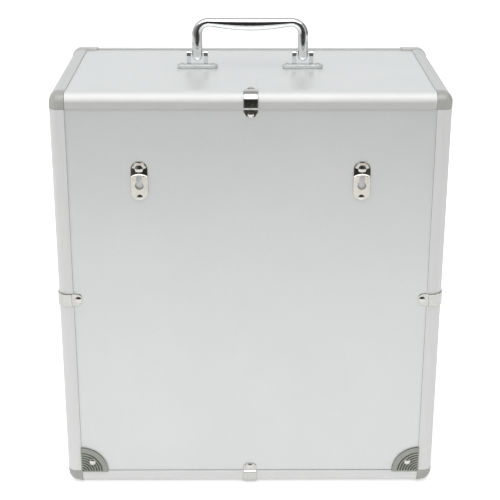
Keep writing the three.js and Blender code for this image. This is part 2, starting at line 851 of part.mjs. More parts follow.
function addDoorFrame() {
  const width = caseWidth - 2 * doorEdge;
  const height = caseHeight - 2 * doorEdge;
  const back = yAxis.clone().negate();
  for (const [name, side] of [['door_latch_rail', -1], ['door_hinge_rail', 1]]) {
    const geometry = mitredRail(height);
    geometry.applyMatrix4(new THREE.Matrix4().makeBasis(xAxis.clone().multiplyScalar(-side), back, zAxis));
    geometry.translate(side * (width / 2), caseDepth, doorEdge);
    addPart(name, toSolid(geometry), 'profile');
  }
  for (const [name, side] of [['door_bottom_rail', -1], ['door_top_rail', 1]]) {
    const geometry = mitredRail(width);
    geometry.applyMatrix4(new THREE.Matrix4().makeBasis(zAxis.clone().multiplyScalar(-side), back, xAxis));
    geometry.translate(-width / 2, caseDepth, side < 0 ? doorEdge : caseHeight - doorEdge);
    addPart(name, toSolid(geometry), 'profile');
  }
}

function addDoorPane() {
  const reach = doorEdge + railWidth - paneInset + paneGap;
  const front = caseDepth - paneDepth;
  addPart('door_pane', block(
    [reach - halfWidth, front - paneThickness, reach],
    [halfWidth - reach, front, caseHeight - reach],
  ), 'acrylic');
}

// One leaf of the continuous hinge, made round the pin with the leaf reaching towards the given
// side. Leaf 0 carries the odd barrels and the pin, and leaf 1 the barrels between them.
function hingeLeaf(leaf, side) {
  const length = caseHeight - 2 * hingeEndReach;
  const pitch = length / hingeBarrels;
  const sheetLow = -hingeBarrelRadius;
  const sheetHigh = sheetLow + hingeLeafThickness;
  const start = hingeBarrelRadius + hingeBarrelGap;
  const span = (from, to) => [Math.min(side * from, side * to), Math.max(side * from, side * to)];
  const [sheetFrom, sheetTo] = span(start, hingeLeafWidth);
  const [rootFrom, rootTo] = span(0, start + hingeRootOverlap);
  let solid = block([sheetFrom, sheetLow, 0], [sheetTo, sheetHigh, length]);
  for (let i = leaf; i < hingeBarrels; i += 2) {
    const from = i * pitch + (i === 0 ? 0 : hingeBarrelGap / 2);
    const to = (i + 1) * pitch - (i === hingeBarrels - 1 ? 0 : hingeBarrelGap / 2);
    solid = solid
      .add(block([rootFrom, sheetLow, from], [rootTo, sheetHigh, to]))
      .add(rod('z', 0, 0, hingeBarrelRadius, from, to));
  }
  solid = leaf === 0
    ? solid.add(rod('z', 0, 0, hingePinRadius, 0, length))
    : solid.subtract(rod('z', 0, 0, hingePinRadius + runningGap, -overrun, length + overrun));
  const rivetX = side * (start + hingeLeafWidth) / 2;
  for (let i = 0; i < hingeRivets; i += 1) {
    const height = hingeRivetEnd + ((length - 2 * hingeRivetEnd) * i) / (hingeRivets - 1);
    solid = solid.add(rivetHead([rivetX, sheetHigh, height], yAxis, tinyRivet));
  }
  return solid;
}

function addHinge() {
  const place = [halfWidth - hingeAxisReach, caseDepth + hingeAxisHeight, hingeEndReach];
  addPart('hinge_case_leaf', hingeLeaf(0, 1), 'nickel').position.set(...place);
  addPart('hinge_door_leaf', hingeLeaf(1, -1), 'nickel').position.set(...place);
}

// Latch parts share one space: x from the door's edge towards its middle, y out from the front
// face and z up from the middle of the latch.
function latchBase() {
  const sheetTop = seat + latchSheet;
  let base = block(
    [latchBaseStart, seat, -latchBaseHalfHeight],
    [latchBaseEnd, sheetTop, latchBaseHalfHeight],
  );
  const ear = outline([
    [latchPivotReach - latchEarFoot, sheetTop - headSink],
    [latchPivotReach + latchEarFoot, sheetTop - headSink],
    ...arcPoints(latchPivotReach, latchPivotHeight, latchEarRadius, 0, 180),
  ]);
  const earInner = latchEarOuter - latchEarThickness;
  const stubEnd = cheekOuter - leverCheek - seat;
  for (const side of [-1, 1]) {
    const ears = [side * earInner, side * latchEarOuter].sort((a, b) => a - b);
    const stub = [side * stubEnd, side * (earInner + headSink)].sort((a, b) => a - b);
    base = base
      .add(prism(ear, 'z', ...ears))
      .add(rod('z', latchPivotReach, latchPivotHeight, latchPivotRadius, ...stub));
    for (const x of [latchBaseStart + latchBaseRivetInset, latchBaseEnd - latchBaseRivetInset]) {
      base = base.add(rivetHead([x, sheetTop, side * latchBaseRivetHeight], yAxis, tinyRivet));
    }
  }
  const roof = lockFoot + camThickness + keeperGap;
  return base
    .add(block(
      [lockReach - keeperHalfLength, sheetTop - headSink, keeperOuter - keeperWall],
      [lockReach + keeperHalfLength, roof + keeperWall, keeperOuter],
    ))
    .add(block(
      [lockReach - keeperHalfLength, roof, keeperInner],
      [lockReach + keeperHalfLength, roof + keeperWall, keeperOuter],
    ));
}

function latchLever() {
  const cheekInner = cheekOuter - leverCheek;
  const plateLow = leverTop - leverPlateThickness;
  const cheek = outline([
    ...arcPoints(latchPivotReach, latchPivotHeight, latchEarRadius, 90, 270),
    [leverPlateEnd, leverTop - leverTailHeight],
    [leverPlateEnd, leverTop],
  ]);
  const plate = outline([
    [leverPlateStart, plateLow],
    [leverPlateEnd, plateLow],
    [leverPlateEnd + leverLipRun, plateLow + leverLipRise],
    [leverPlateEnd + leverLipRun, leverTop + leverLipRise],
    [leverPlateEnd, leverTop],
    [leverPlateStart, leverTop],
  ]);
  let lever = prism(plate, 'z', -cheekOuter, cheekOuter)
    .add(prism(cheek, 'z', cheekInner, cheekOuter))
    .add(prism(cheek, 'z', -cheekOuter, -cheekInner));
  const pivotHole = latchPivotRadius + runningGap;
  const pinEnd = cheekInner + headSink;
  const lockHoleStart = plateLow - leverPlateThickness;
  const holeEnd = latchEarOuter;
  lever = lever.subtract(rod('z', latchPivotReach, latchPivotHeight, pivotHole, -holeEnd, holeEnd));
  return lever
    .add(rod('z', clawPivotReach, clawPivotHeight, latchPivotRadius, -pinEnd, pinEnd))
    .subtract(rod('y', lockReach, 0, lockRadius + runningGap, lockHoleStart, leverTop + overrun));
}

function latchClaw() {
  const top = clawPivotHeight + clawThickness / 2;
  const under = top - clawThickness;
  const tipInner = -(doorGap + frontLipReach() + catchLipThickness + clawTipGap);
  const tipOuter = tipInner - clawThickness;
  const tipFoot = seat + latchSheet + clawTipFloat;
  const strip = outline([
    [clawPivotReach, top],
    [tipOuter, top],
    [tipOuter, tipFoot],
    [tipInner, tipFoot],
    [tipInner, under],
    [clawPivotReach, under],
  ]);
  return prism(strip, 'z', -clawHalfWidth, clawHalfWidth)
    .add(rod('z', clawPivotReach, clawPivotHeight, clawKnuckleRadius, -clawHalfWidth, clawHalfWidth))
    .subtract(rod(
      'z', clawPivotReach, clawPivotHeight, latchPivotRadius + runningGap,
      -clawHalfWidth - overrun, clawHalfWidth + overrun,
    ));
}

// How far the near side of the catch's lip lies from the edge of the front profile.
function frontLipReach() {
  return catchLipReach - doorGap;
}

function latchCatch() {
  const sheetTop = seat + latchSheet;
  const lipNear = -(doorGap + frontLipReach());
  const foot = block([-catchStart, seat, -catchHalfHeight], [-catchEnd, sheetTop, catchHalfHeight]);
  let plate = foot
    .add(block(
      [lipNear - catchLipThickness, sheetTop - headSink, -catchLipHalfWidth],
      [lipNear, sheetTop + catchLipHeight, catchLipHalfWidth],
    ));
  for (const side of [-1, 1]) {
    plate = plate.add(rivetHead([-catchRivetReach, sheetTop, side * catchRivetHeight], yAxis, tinyRivet));
  }
  return plate;
}

function lockCylinder() {
  const collarLow = leverTop + seat;
  const collarTop = collarLow + lockCollarThickness;
  const camEnd = [lockReach + camReach, lockFoot + camThickness, camHalfWidth];
  return rod('y', lockReach, 0, lockRadius, lockFoot, collarTop)
    .add(rod('y', lockReach, 0, lockCollarRadius, collarLow, collarTop))
    .add(block([lockReach, lockFoot, -camHalfWidth], camEnd))
    .subtract(block(
      [lockReach - keySlotLength / 2, collarTop - keySlotDepth, -keySlotGap / 2],
      [lockReach + keySlotLength / 2, collarTop + overrun, keySlotGap / 2],
    ));
}

function addLatches() {
  for (const [level, side] of [['upper', 1], ['lower', -1]]) {
    const latch = new THREE.Group();
    latch.position.set(doorEdge - halfWidth, caseDepth, caseHeight / 2 + side * (latchSpacing / 2));
    addPart(`${level}_latch_base`, latchBase(), 'nickel', latch);
    addPart(`${level}_latch_lever`, latchLever(), 'nickel', latch);
    addPart(`${level}_latch_claw`, latchClaw(), 'nickel', latch);
    addPart(`${level}_latch_catch`, latchCatch(), 'nickel', latch);
    addPart(`${level}_lock_cylinder`, lockCylinder(), 'brass', latch);
    phoneCase.add(latch);
  }
}

addPanels();
addProfiles();
addCornerCaps();
addFanPlates();
addEdgeClips();
addKeyholePlates();
addHandle();
addEggCrate();
addDoorFrame();
addDoorPane();
addHinge();
addLatches();

// The origin is on the surface that the case stands on, under the middle of the whole object.
phoneCase.updateMatrixWorld(true);
const reach = new THREE.Box3().setFromObject(phoneCase, true);
phoneCase.position.set(0, -(reach.min.y + reach.max.y) / 2, -reach.min.z);

export default phoneCase;
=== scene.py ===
"""Looks of the phone storage case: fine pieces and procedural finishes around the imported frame.

The row frame is in metres: +Z up, with the rear face of the photograph looking along -Y. Sizes
and shapes below are in millimetres, and MM or millimetres() brings them to metres.
"""

from math import asin, cos, dist, pi, radians, sin, sqrt, tan

import bmesh
import bpy
from mathutils import Matrix, Vector


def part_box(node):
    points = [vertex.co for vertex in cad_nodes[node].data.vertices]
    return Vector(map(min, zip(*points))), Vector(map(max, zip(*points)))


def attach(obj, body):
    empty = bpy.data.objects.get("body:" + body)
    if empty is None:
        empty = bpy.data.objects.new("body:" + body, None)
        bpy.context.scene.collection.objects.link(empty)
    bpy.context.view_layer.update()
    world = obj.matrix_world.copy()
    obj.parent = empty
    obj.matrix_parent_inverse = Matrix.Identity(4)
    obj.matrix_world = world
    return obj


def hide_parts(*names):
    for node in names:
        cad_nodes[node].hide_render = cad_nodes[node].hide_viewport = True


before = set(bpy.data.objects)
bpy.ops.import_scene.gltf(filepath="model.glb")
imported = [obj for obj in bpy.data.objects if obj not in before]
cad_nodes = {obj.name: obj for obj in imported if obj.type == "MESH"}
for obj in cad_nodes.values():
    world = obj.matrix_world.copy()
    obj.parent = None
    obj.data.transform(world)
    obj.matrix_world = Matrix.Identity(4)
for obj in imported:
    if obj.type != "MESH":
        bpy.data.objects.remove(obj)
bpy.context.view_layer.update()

MM = 0.001

# Camera, fitted to the photograph: its place in metres, and its pitch, yaw and roll
CAMERA_PLACE = (-0.0091, -1.26615, 0.7046)
CAMERA_TURN = (20.918, 0.427, 0.118)
CAMERA_LENS = 91.34
SENSOR_WIDTH = 36.0

# White surroundings: strengths for plain light, and for what mirrors and the camera see
WORLD_STRENGTH = 0.78
MIRRORED_STRENGTH = 1.08

# Floor and lamps, in metres. A lamp has a name, a place, a size and a power
FLOOR_SIZE = 24.0
FLOOR_LIFT = 0.4
FLOOR_GREY = 0.55
FLOOR_GREY_SEEN = 0.95
LAMP_AIM = (0, 0, 0.2)
LAMPS = (
    ("key", (-0.35, -1.0, 2.75), (2.4, 1.9), 30),
    ("fill", (-2.4, -1.0, 1.4), (1.2, 1.2), 5),
)

# Cards that only polished surfaces mirror, in metres. A curved one has a radius round the case,
# two angles from the front and two heights, and a flat one two opposite corners. Then follow the
# axis along which the brightness runs, its two levels and the tint
CURVED_CARDS = (
    ("front_left_card", 1.3, (-75, -5), (0.0, 1.18), 0, (0.28, 0.02), (1.0, 0.97, 0.92)),
    ("front_right_card", 1.3, (-5, 52), (0.0, 1.18), 0, (0.02, 0.12), (1.0, 0.97, 0.92)),
    ("glow_card", 1.34, (-60, 60), (1.2, 2.3), 2, (2.0, 2.0), (1.0, 1.0, 1.0)),
)
FLAT_CARDS = (
    ("ceiling_card", (-3.0, -0.35, 2.6), (3.0, 1.3, 2.6), 1, (0.75, 0.3), (0.97, 0.98, 1.0)),
    ("back_card", (-5.0, 2.6, 0.0), (5.0, 2.6, 4.6), 2, (1.0, 0.45), (0.97, 0.98, 1.0)),
    ("left_card", (-2.5, -1.3, 0.0), (-2.5, 2.5, 2.4), 2, (0.5, 0.6), (1.0, 1.0, 0.99)),
    ("right_card", (2.5, -1.3, 0.0), (2.5, 2.5, 2.4), 2, (0.15, 0.3), (1.0, 1.0, 0.99)),
)

# Edge profiles: rounding, reach of the lips, the height in which the painted shade on the rear top
# one's upright side fades out, and the tone of that painted shade
CORNER_RADIUS = 9.0
LIP_REACH = 15.0
FLANK_FADE = 2.2
FLANK_SHADE = 0.89

# Corner caps: reach along X, Y and Z, how far they stand out, wall, and edge of the doorway.
# REAR_CAP_BALL is how much larger the ball corner's radius is than the edges'
REAR_CAP = {"reach": (15.0, 15.0, 15.0), "proud": 0.2, "wall": 1.0, "doorway": None}
FRONT_CAP = {"reach": (26.0, 17.0, 26.0), "proud": 1.0, "wall": 2.0, "doorway": 21.0}
REAR_CAP_BALL = 2.0

# Gap that keeps a seated piece off the face under it
SEAT_GAP = 0.02

# Rivet heads: radius and the slope of the dome at its rim, in degrees
FAN_RIVET = (2.8, 25.0)
CLIP_RIVET = (3.1, 25.0)
BRACKET_RIVET = (2.6, 48.0)

# Fan plates, with places from the corner of the case
FAN_CORNER = (14.2, 13.8)
FAN_RADIUS = 27.9
FAN_THICKNESS = 2.2
FAN_RIBS = 8
FAN_PITCH = 2.7
FAN_GROOVE = 1.4
FAN_BORDER = (0.8, 1.5)
FAN_BAND_DROP = 0.3
FAN_BAND_SLOPE = 0.15
FAN_RIVET_PLACE = (12.0, 11.8)
FAN_BOSS_MARGIN = 0.6

# Clips round the middle of each rear edge. A level leg's rivet stands higher and further out
CLIP_LEG = 23.5
CLIP_WIDTH = 14.0
CLIP_SHEET = 0.9
CLIP_GAP = 0.2
CLIP_RIM = 0.35
CLIP_STEP_START = 13.7
CLIP_STEP_RUN = 1.7
CLIP_STEP_SEAT = 0.15
CLIP_END_ROUNDING = 6.2
CLIP_RIVET_REACH = 19.7
LEVEL_RIVET_SHIFT = 1.3
LEVEL_RIVET_RIM = 1.1

# Keyhole plates, with heights from the middle of the CAD's plate. Above the pad's arched edge the
# face falls by a step (run, fall), then a ramp (run, slope), longer at the sides, and a gentle
# slope. A rivet has a height, a head and the width of its brim
PLATE_WIDTH = 16.0
PLATE_TOP = 18.6
PLATE_BOTTOM = -19.9
PLATE_SHEET = 0.8
PLATE_RIM = 0.14
PLATE_PAD = 2.5
PLATE_PAD_TOP = 5.7
PLATE_PAD_BOTTOM = -10.8
PLATE_ARCH = 2.3
PLATE_SIDE_DROP = 1.3
PLATE_STEP = (1.2, 0.94)
PLATE_RAMP = (4.2, 0.09)
PLATE_RAMP_SIDES = 4.0
PLATE_GENTLE = -0.004
PLATE_LOWER = (1.4, 0.2)
PLATE_RIVETS = ((11.4, (3.2, 25.0), 0.7), (-16.8, (2.9, 25.0), 0.0))
KEYHOLE_RADIUS = 4.2
KEYHOLE_DROP = 4.6
SLOT_WIDTH = 5.0
SLOT_TOP = 5.5

# Handle and brackets, with heights from the top panel. A section is (in the bail's plane, across)
HANDLE_SPACING = 106.6
HANDLE_LEG = (10.4, 8.4)
HANDLE_TOP = 50.79
HANDLE_BEND = 12.0
HANDLE_END_THICKNESS = 8.6
HANDLE_GRIP = (12.8, 8.8)
HANDLE_PIN_HEIGHT = 14.9
HANDLE_TAIL = 7.5
PIN_RADIUS = 1.6
BRACKET_SIZE = (41.0, 10.4, 3.8)
BRACKET_LIFT = 0.2
BRACKET_ROUNDING = 0.9
BRACKET_RIVET_REACH = 15.4
EAR_INNER = 6.5
EAR_WIDTH = 4.2
EAR_SHEET = 1.8
KNUCKLE_RADIUS = 2.8

# Painted shadow: dark strips where the panels meet the profiles' lips, as wide as the shaded gaps
# show
BOTTOM_SEAM = 0.25
TOP_SEAM = 0.3
SIDE_SEAM = 0.12
SEAM_RISE = 0.06
TOP_SEAM_DEPTH = 0.15

# Rubber seal of the pane, and the printed numbers over each slot's floor
SEAL_WIDTH = 1.8
SEAL_THICKNESS = 1.6
NUMBER_SIZE = 34
NUMBER_HEIGHT = 20
NUMBER_DEPTH = 0.12

DIVIDERS = [f"divider_{i}" for i in range(1, 5)]
SHELVES = [f"shelf_{i}" for i in range(1, 4)]


# Geometry helpers. A skin is a pair of lists, of points and of faces


def grid_faces(rows, columns, closed=False):
    """Faces of a grid of points, row by row. A closed one joins its last column to its first."""
    faces = []
    for r in range(rows - 1):
        for c in range(columns if closed else columns - 1):
            n = (c + 1) % columns
            a, b = r * columns, (r + 1) * columns
            faces.append([a + c, a + n, b + n, b + c])
    return faces


def sheet_skin(top, back, columns, pointed=False):
    """Skin of a sheet from the grids of its sides, with walls. A pointed one starts without."""
    count = len(top)
    faces = grid_faces(count // columns, columns)
    lower = [[count + i for i in face][::-1] for face in faces]
    lines = [range(0, count, columns), range(columns - 1, count, columns),
             range(count - columns, count)] + ([] if pointed else [range(columns)])
    walls = [[a, b, b + count, a + count] for line in lines for a, b in zip(line, line[1:])]
    return top + back, faces + lower + walls


def ring_stack(rings):
    """Closed skin over rings of equal length, flat at each end."""
    count = len(rings[0])
    points = [p for ring in rings for p in ring]
    faces = grid_faces(len(rings), count, closed=True)
    last = (len(rings) - 1) * count
    faces.append(list(range(count))[::-1])
    faces.append([last + i for i in range(count)])
    return points, faces


def lathe(profile, steps=32):
    """A body turned round Z from (radius, height) pairs."""
    return ring_stack([[(*polar(r, a), h) for a in turns(steps)] for r, h in profile])


def block(low, high):
    """A box between two opposite corners."""
    (x0, y0, z0), (x1, y1, z1) = low, high
    return ring_stack([[(x0, y0, z), (x1, y0, z), (x1, y1, z), (x0, y1, z)] for z in (z0, z1)])


def turns(steps):
    """Angles of a full turn, without its end."""
    return [2 * pi * i / steps for i in range(steps)]


def polar(radius, angle, x=0.0, y=0.0):
    """The point at an angle on a circle round (x, y)."""
    return x + radius * cos(angle), y + radius * sin(angle)


def smoothstep(x, low, high):
    t = min(1.0, max(0.0, (x - low) / (high - low)))
    return t * t * (3 - 2 * t)


def spaced(low, high, steps):
    return [low + (high - low) * i / steps for i in range(steps + 1)]


def towards(direction, place):
    """Matrix that turns +Z to the direction and moves the origin to the place."""
    turn = Vector(direction).to_track_quat("Z", "Y").to_matrix().to_4x4()
    return Matrix.Translation(place) @ turn


def millimetres(place=(0, 0, 0)):
    """Matrix that moves to a place in millimetres and then brings millimetres to metres."""
    return Matrix.Scale(MM, 4) @ Matrix.Translation(place)


def new_object(name, data):
    obj = bpy.data.objects.new(name, data)
    bpy.context.scene.collection.objects.link(obj)
    return obj


def solid_mesh(name, skins, merge=0.0):
    """A mesh from skins, each with its matrix to metres. Its normals face out, and points nearer
    than merge become one."""
    points, faces = [], []
    for (own_points, own_faces), matrix in skins:
        faces += [[len(points) + i for i in face] for face in own_faces]
        points += [tuple(matrix @ Vector(p)) for p in own_points]
    mesh = bpy.data.meshes.new(name)
    mesh.from_pydata(points, [], faces)
    bm = bmesh.new()
    bm.from_mesh(mesh)
    if merge:
        bmesh.ops.remove_doubles(bm, verts=bm.verts, dist=merge * MM)
    bmesh.ops.recalc_face_normals(bm, faces=bm.faces)
    bm.to_mesh(mesh)
    bm.free()
    return mesh


def shade_smooth(mesh, sharp=180.0):
    """Smooth shading, broken where two faces meet at more than the angle in degrees."""
    mesh.polygons.foreach_set("use_smooth", [True] * len(mesh.polygons))
    if sharp < 180:
        mesh.set_sharp_from_angle(angle=radians(sharp))


def round_edges(obj, width):
    bevel = obj.modifiers.new("round_edges", "BEVEL")
    bevel.width = width * MM
    bevel.segments = 2
    bevel.limit_method = "ANGLE"
    bevel.angle_limit = radians(35)
    bevel.harden_normals = True


def make_piece(name, skins, finish, body, stands_for=(), soft_edge=0.0, sharp=40.0):
    """A piece from (skin, matrix) pairs. soft_edge rounds its edges by that many millimetres."""
    mesh = solid_mesh(name, skins, merge=0.002)
    obj = new_object(name, mesh)
    mesh.materials.append(finish)
    shade_smooth(mesh, sharp)
    if soft_edge:
        round_edges(obj, soft_edge)
    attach(obj, body)
    if stands_for:
        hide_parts(*stands_for)
    return obj


def dress_node(name, finish, soft_edge=0.25):
    """A CAD node keeps its shape, with its edges slightly rounded and a finish of its own."""
    obj = cad_nodes[name]
    mesh = obj.data
    if "custom_normal" in mesh.attributes:
        mesh.attributes.remove(mesh.attributes["custom_normal"])
    mesh.materials.clear()
    mesh.materials.append(finish)
    shade_smooth(mesh)
    weld = obj.modifiers.new("weld", "WELD")
    weld.merge_threshold = 0.005 * MM
    round_edges(obj, soft_edge)


# Finishes


def scaled(factor, colour):
    return tuple(factor * c for c in colour)


def new_node(tree, kind, values=None, **settings):
    """A shader node with values on its own sockets, and with other settings."""
    made = tree.nodes.new("ShaderNode" + kind)
    for key, value in settings.items():
        setattr(made, key, value)
    for key, value in (values or {}).items():
        made.inputs[key].default_value = value
    return made


class Finish:
    """A procedural material around one Principled shader, in millimetres of object space."""

    def __init__(self, name, values=None):
        self.material = bpy.data.materials.new(name)
        self.material.use_nodes = True
        self.tree = self.material.node_tree
        self.shader = self.tree.nodes["Principled BSDF"]
        for key, value in (values or {}).items():
            self.shader.inputs[key].default_value = value
        coordinates = self.node("TexCoord")
        scale = self.node("VectorMath", {"Scale": 1 / MM}, operation="SCALE")
        self.link(coordinates.outputs["Object"], scale.inputs[0])
        self.place = scale.outputs["Vector"]

    def node(self, kind, values=None, **settings):
        return new_node(self.tree, kind, values, **settings)

    def link(self, source, target):
        self.tree.links.new(source, target)

    def coordinate(self, axis):
        """Place along X, Y or Z, numbered from 0."""
        split = self.node("SeparateXYZ")
        self.link(self.place, split.inputs[0])
        return split.outputs[axis]

    def noise(self, size, detail=3, roughness=0.5, stretch=(1, 1, 1), seed=0.0):
        """Noise with features of about the given size, drawn out along stretched axes."""
        mapping = self.node("Mapping", {"Scale": [1 / (size * s) for s in stretch],
                                        "Location": (seed, seed * 0.7, seed * 1.3)})
        self.link(self.place, mapping.inputs["Vector"])
        noise = self.node("TexNoise", {"Scale": 1.0, "Detail": detail, "Roughness": roughness})
        self.link(mapping.outputs["Vector"], noise.inputs["Vector"])
        return noise.outputs["Fac"]

    def ranged(self, value, low, high, to_low=0.0, to_high=1.0):
        """Brings values from low to high to the range from to_low to to_high, and clamps."""
        mapped = self.node("MapRange", {"From Min": low, "From Max": high,
                                        "To Min": to_low, "To Max": to_high})
        self.link(value, mapped.inputs["Value"])
        return mapped.outputs["Result"]

    def maths(self, operation, a, b):
        node = self.node("Math", operation=operation)
        for socket, value in zip(node.inputs, (a, b)):
            if isinstance(value, (int, float)):
                socket.default_value = value
            else:
                self.link(value, socket)
        return node.outputs["Value"]

    def mix(self, factor, a, b):
        """Mixes two colours, each a triple or a socket, by a socket."""
        node = self.node("Mix", data_type="RGBA")
        for key, value in ((6, a), (7, b)):
            if isinstance(value, tuple):
                node.inputs[key].default_value = (*value, 1)
            else:
                self.link(value, node.inputs[key])
        self.link(factor, node.inputs[0])
        return node.outputs[2]

    def edges(self, radius):
        """1 on edges and 0 on flats, from how far a rounded normal leans from the real one."""
        rounded = self.node("Bevel", {"Radius": radius * MM}, samples=4)
        geometry = self.node("NewGeometry")
        dot = self.node("VectorMath", operation="DOT_PRODUCT")
        self.link(rounded.outputs["Normal"], dot.inputs[0])
        self.link(geometry.outputs["Normal"], dot.inputs[1])
        return self.ranged(self.maths("SUBTRACT", 1.0, dot.outputs["Value"]), 0.0, 0.12)

    def crevices(self, reach, low=0.35, high=0.62):
        """Mask for painted shade: 1 deep in gaps and along inner edges, where shade falls, and 0
        beyond the reach in millimetres.
        """
        occlusion = self.node("AmbientOcclusion", {"Distance": reach * MM}, samples=6)
        return self.ranged(occlusion.outputs["AO"], low, high, 1.0, 0.0)

    def done(self, colour, roughness, height=None, depth=0.0):
        """The material with its sockets linked. height runs from 0 to 1 over the bump's depth in
        millimetres."""
        if colour:
            self.link(colour, self.shader.inputs["Base Color"])
        self.link(roughness, self.shader.inputs["Roughness"])
        if height:
            bump = self.node("Bump", {"Distance": depth * MM})
            self.link(height, bump.inputs["Height"])
            self.link(bump.outputs["Normal"], self.shader.inputs["Normal"])
        return self.material


def laminate_finish():
    """Satin silver laminate: a fine pebble, faint clouds, small scuffs, and painted shade near black
    in its seams and along inner edges.
    """
    f = Finish("silver_laminate", {"Metallic": 0.6})
    clouds = f.noise(70, 4)
    grain = f.noise(0.55, 2)
    speckle = f.noise(2.6, 4, 0.7)
    base = f.mix(f.ranged(clouds, 0.3, 0.7), (0.725, 0.745, 0.735), (0.76, 0.77, 0.765))
    base = f.mix(f.ranged(speckle, 0.35, 0.75, 0, 0.4), base, (0.69, 0.71, 0.70))
    base = f.mix(f.ranged(grain, 0.35, 0.7, 0, 0.35), base, (0.83, 0.84, 0.835))
    # painted shade: near black where the laminate runs into gaps and inner edges
    base = f.mix(f.crevices(0.6), base, (0.16, 0.16, 0.16))
    rough = f.ranged(speckle, 0.3, 0.7, 0.36, 0.46)
    pebble = f.maths("ADD", f.ranged(grain, 0, 1, 0, 0.6), f.ranged(speckle, 0, 1, 0, 0.4))
    return f.done(base, rough, pebble, 0.035)


def lining_finish():
    """Black felted lining of the inner faces."""
    f = Finish("black_lining", {"Sheen Weight": 0.25})
    fibres = f.noise(0.8, 6, 0.7)
    patches = f.noise(25, 2)
    base = f.mix(fibres, (0.012, 0.012, 0.013), (0.05, 0.05, 0.053))
    base = f.mix(f.ranged(patches, 0.35, 0.7, 0, 0.35), base, (0.03, 0.03, 0.032))
    return f.done(base, f.ranged(fibres, 0, 1, 0.85, 1.0), fibres, 0.25)


def brushed_finish(name, axis, tone=1.0, roughness=(0.5, 0.6), metallic=0.6, flank_shade=None):
    """Satin anodised aluminium, with fine lines along the bar and brighter worn edges. tone scales
    its colour, as painted light or shade for the bar. Its last argument gives the heights between
    which the painted shade on its upright side fades to its own colour."""
    f = Finish(name, {"Metallic": metallic})
    along = [1.0, 1.0, 1.0]
    along["xyz".index(axis)] = 160.0
    lines = f.noise(0.35, 3, 0.6, along)
    streaks = f.noise(3.0, 2, stretch=along, seed=4.0)
    clouds = f.noise(45, 3, seed=9.0)
    base = f.mix(f.ranged(lines, 0.3, 0.7), scaled(tone, (0.73, 0.74, 0.73)),
                 scaled(tone, (0.80, 0.805, 0.80)))
    base = f.mix(f.ranged(clouds, 0.35, 0.75, 0, 0.35), base, scaled(tone, (0.74, 0.735, 0.725)))
    wear = f.maths("MULTIPLY", f.edges(0.5), f.ranged(streaks, 0.3, 0.65, 0.2, 1.0))
    base = f.mix(wear, base, scaled(tone, (0.92, 0.92, 0.915)))
    # painted shade on the upright side under the bend
    if flank_shade:
        base = f.mix(f.ranged(f.coordinate(2), *flank_shade, 1.0, 0.0), base,
                     scaled(FLANK_SHADE, (0.745, 0.75, 0.74)))
    rough = f.ranged(f.maths("ADD", lines, streaks), 0.6, 1.4, *roughness)
    return f.done(base, rough, lines, 0.012)


def moulded_finish(name, dark, light, rib_light_and_shade=None):
    """Grey moulded plastic with a fine grain, rubbed paler on its edges. Its last argument gives the
    places along Y of its rib tops, which get a painted highlight, of its plain band and of the depth
    where the painted shade in its grooves is darkest."""
    f = Finish(name, {"IOR": 1.75})
    grain = f.noise(0.6, 5, 0.65)
    clouds = f.noise(9, 3, seed=3.0)
    scuffs = f.noise(2.2, 5, 0.75, seed=7.0)
    base = f.mix(f.ranged(clouds, 0.3, 0.7), dark, light)
    base = f.mix(f.ranged(grain, 0.4, 0.75, 0, 0.3), base, scaled(1.25, light))
    rubbed = f.maths("MULTIPLY", f.edges(0.7), f.ranged(scuffs, 0.4, 0.65, 0.1, 0.8))
    base = f.mix(rubbed, base, scaled(1.45, light))
    if rib_light_and_shade:
        ridge, band, deep = rib_light_and_shade
        depth = f.coordinate(1)
        # painted highlight: rib tops paler
        base = f.mix(f.ranged(depth, ridge, band, 1.0, 0.0), base, scaled(1.35, light))
        # painted shade: grooves darker with depth
        base = f.mix(f.ranged(depth, band + 0.1, deep), base, scaled(0.32, dark))
    return f.done(base, f.ranged(scuffs, 0.3, 0.7, 0.3, 0.42), grain, 0.02)


def plated_finish(name, tone, roughness, depth, shade_gaps=(2.0, 0.3, 0.65)):
    """Plated metal: waves of the given depth, haze, scratches and pits, and painted shade near black
    in its crevices. The last argument sets the reach and range of that painted shade.
    """
    f = Finish(name, {"Metallic": 1.0})
    waves = f.noise(6, 2, seed=2.0)
    haze = f.noise(4, 5, 0.7, seed=5.0)
    hairs = f.noise(0.5, 2, stretch=(14, 1, 3), seed=8.0)
    pits = f.noise(0.35, 2, seed=11.0)
    base = f.mix(f.ranged(haze, 0.35, 0.75), tone, scaled(0.88, tone))
    # painted shade: near black in crevices and where parts meet
    base = f.mix(f.maths("MULTIPLY", f.crevices(*shade_gaps), 0.85), base, (0.03, 0.03, 0.028))
    base = f.mix(f.ranged(pits, 0.68, 0.78, 0, 0.5), base, scaled(0.6, tone))
    rough = f.maths("ADD", f.ranged(haze, 0.3, 0.7, 0, 0.07), f.ranged(hairs, 0.45, 0.75, 0, 0.05))
    return f.done(base, f.maths("ADD", rough, roughness), waves, depth)


def board_finish():
    """Black fibre board with pressed fibres and slightly paler sawn edges."""
    f = Finish("fibre_board")
    fibres = f.noise(0.9, 6, 0.7, (3, 3, 1))
    flecks = f.noise(3, 4, 0.6, seed=6.0)
    base = f.mix(fibres, (0.018, 0.018, 0.02), (0.055, 0.056, 0.06))
    base = f.mix(f.ranged(flecks, 0.55, 0.75, 0, 0.5), base, (0.085, 0.085, 0.09))
    base = f.mix(f.maths("MULTIPLY", f.edges(0.8), 0.6), base, (0.13, 0.13, 0.135))
    return f.done(base, f.ranged(fibres, 0, 1, 0.62, 0.85), fibres, 0.08)


def acrylic_finish():
    """Clear acrylic sheet with a faint haze of fine scratches."""
    f = Finish("clear_acrylic", {"Base Color": (0.965, 0.985, 0.985, 1), "IOR": 1.49,
                                 "Transmission Weight": 1.0})
    haze = f.noise(30, 5, 0.6)
    hairs = f.noise(0.8, 2, stretch=(1, 1, 30), seed=5.0)
    return f.done(None, f.maths("ADD", f.ranged(haze, 0.4, 0.8, 0, 0.03),
                                f.ranged(hairs, 0.6, 0.8, 0, 0.05)))


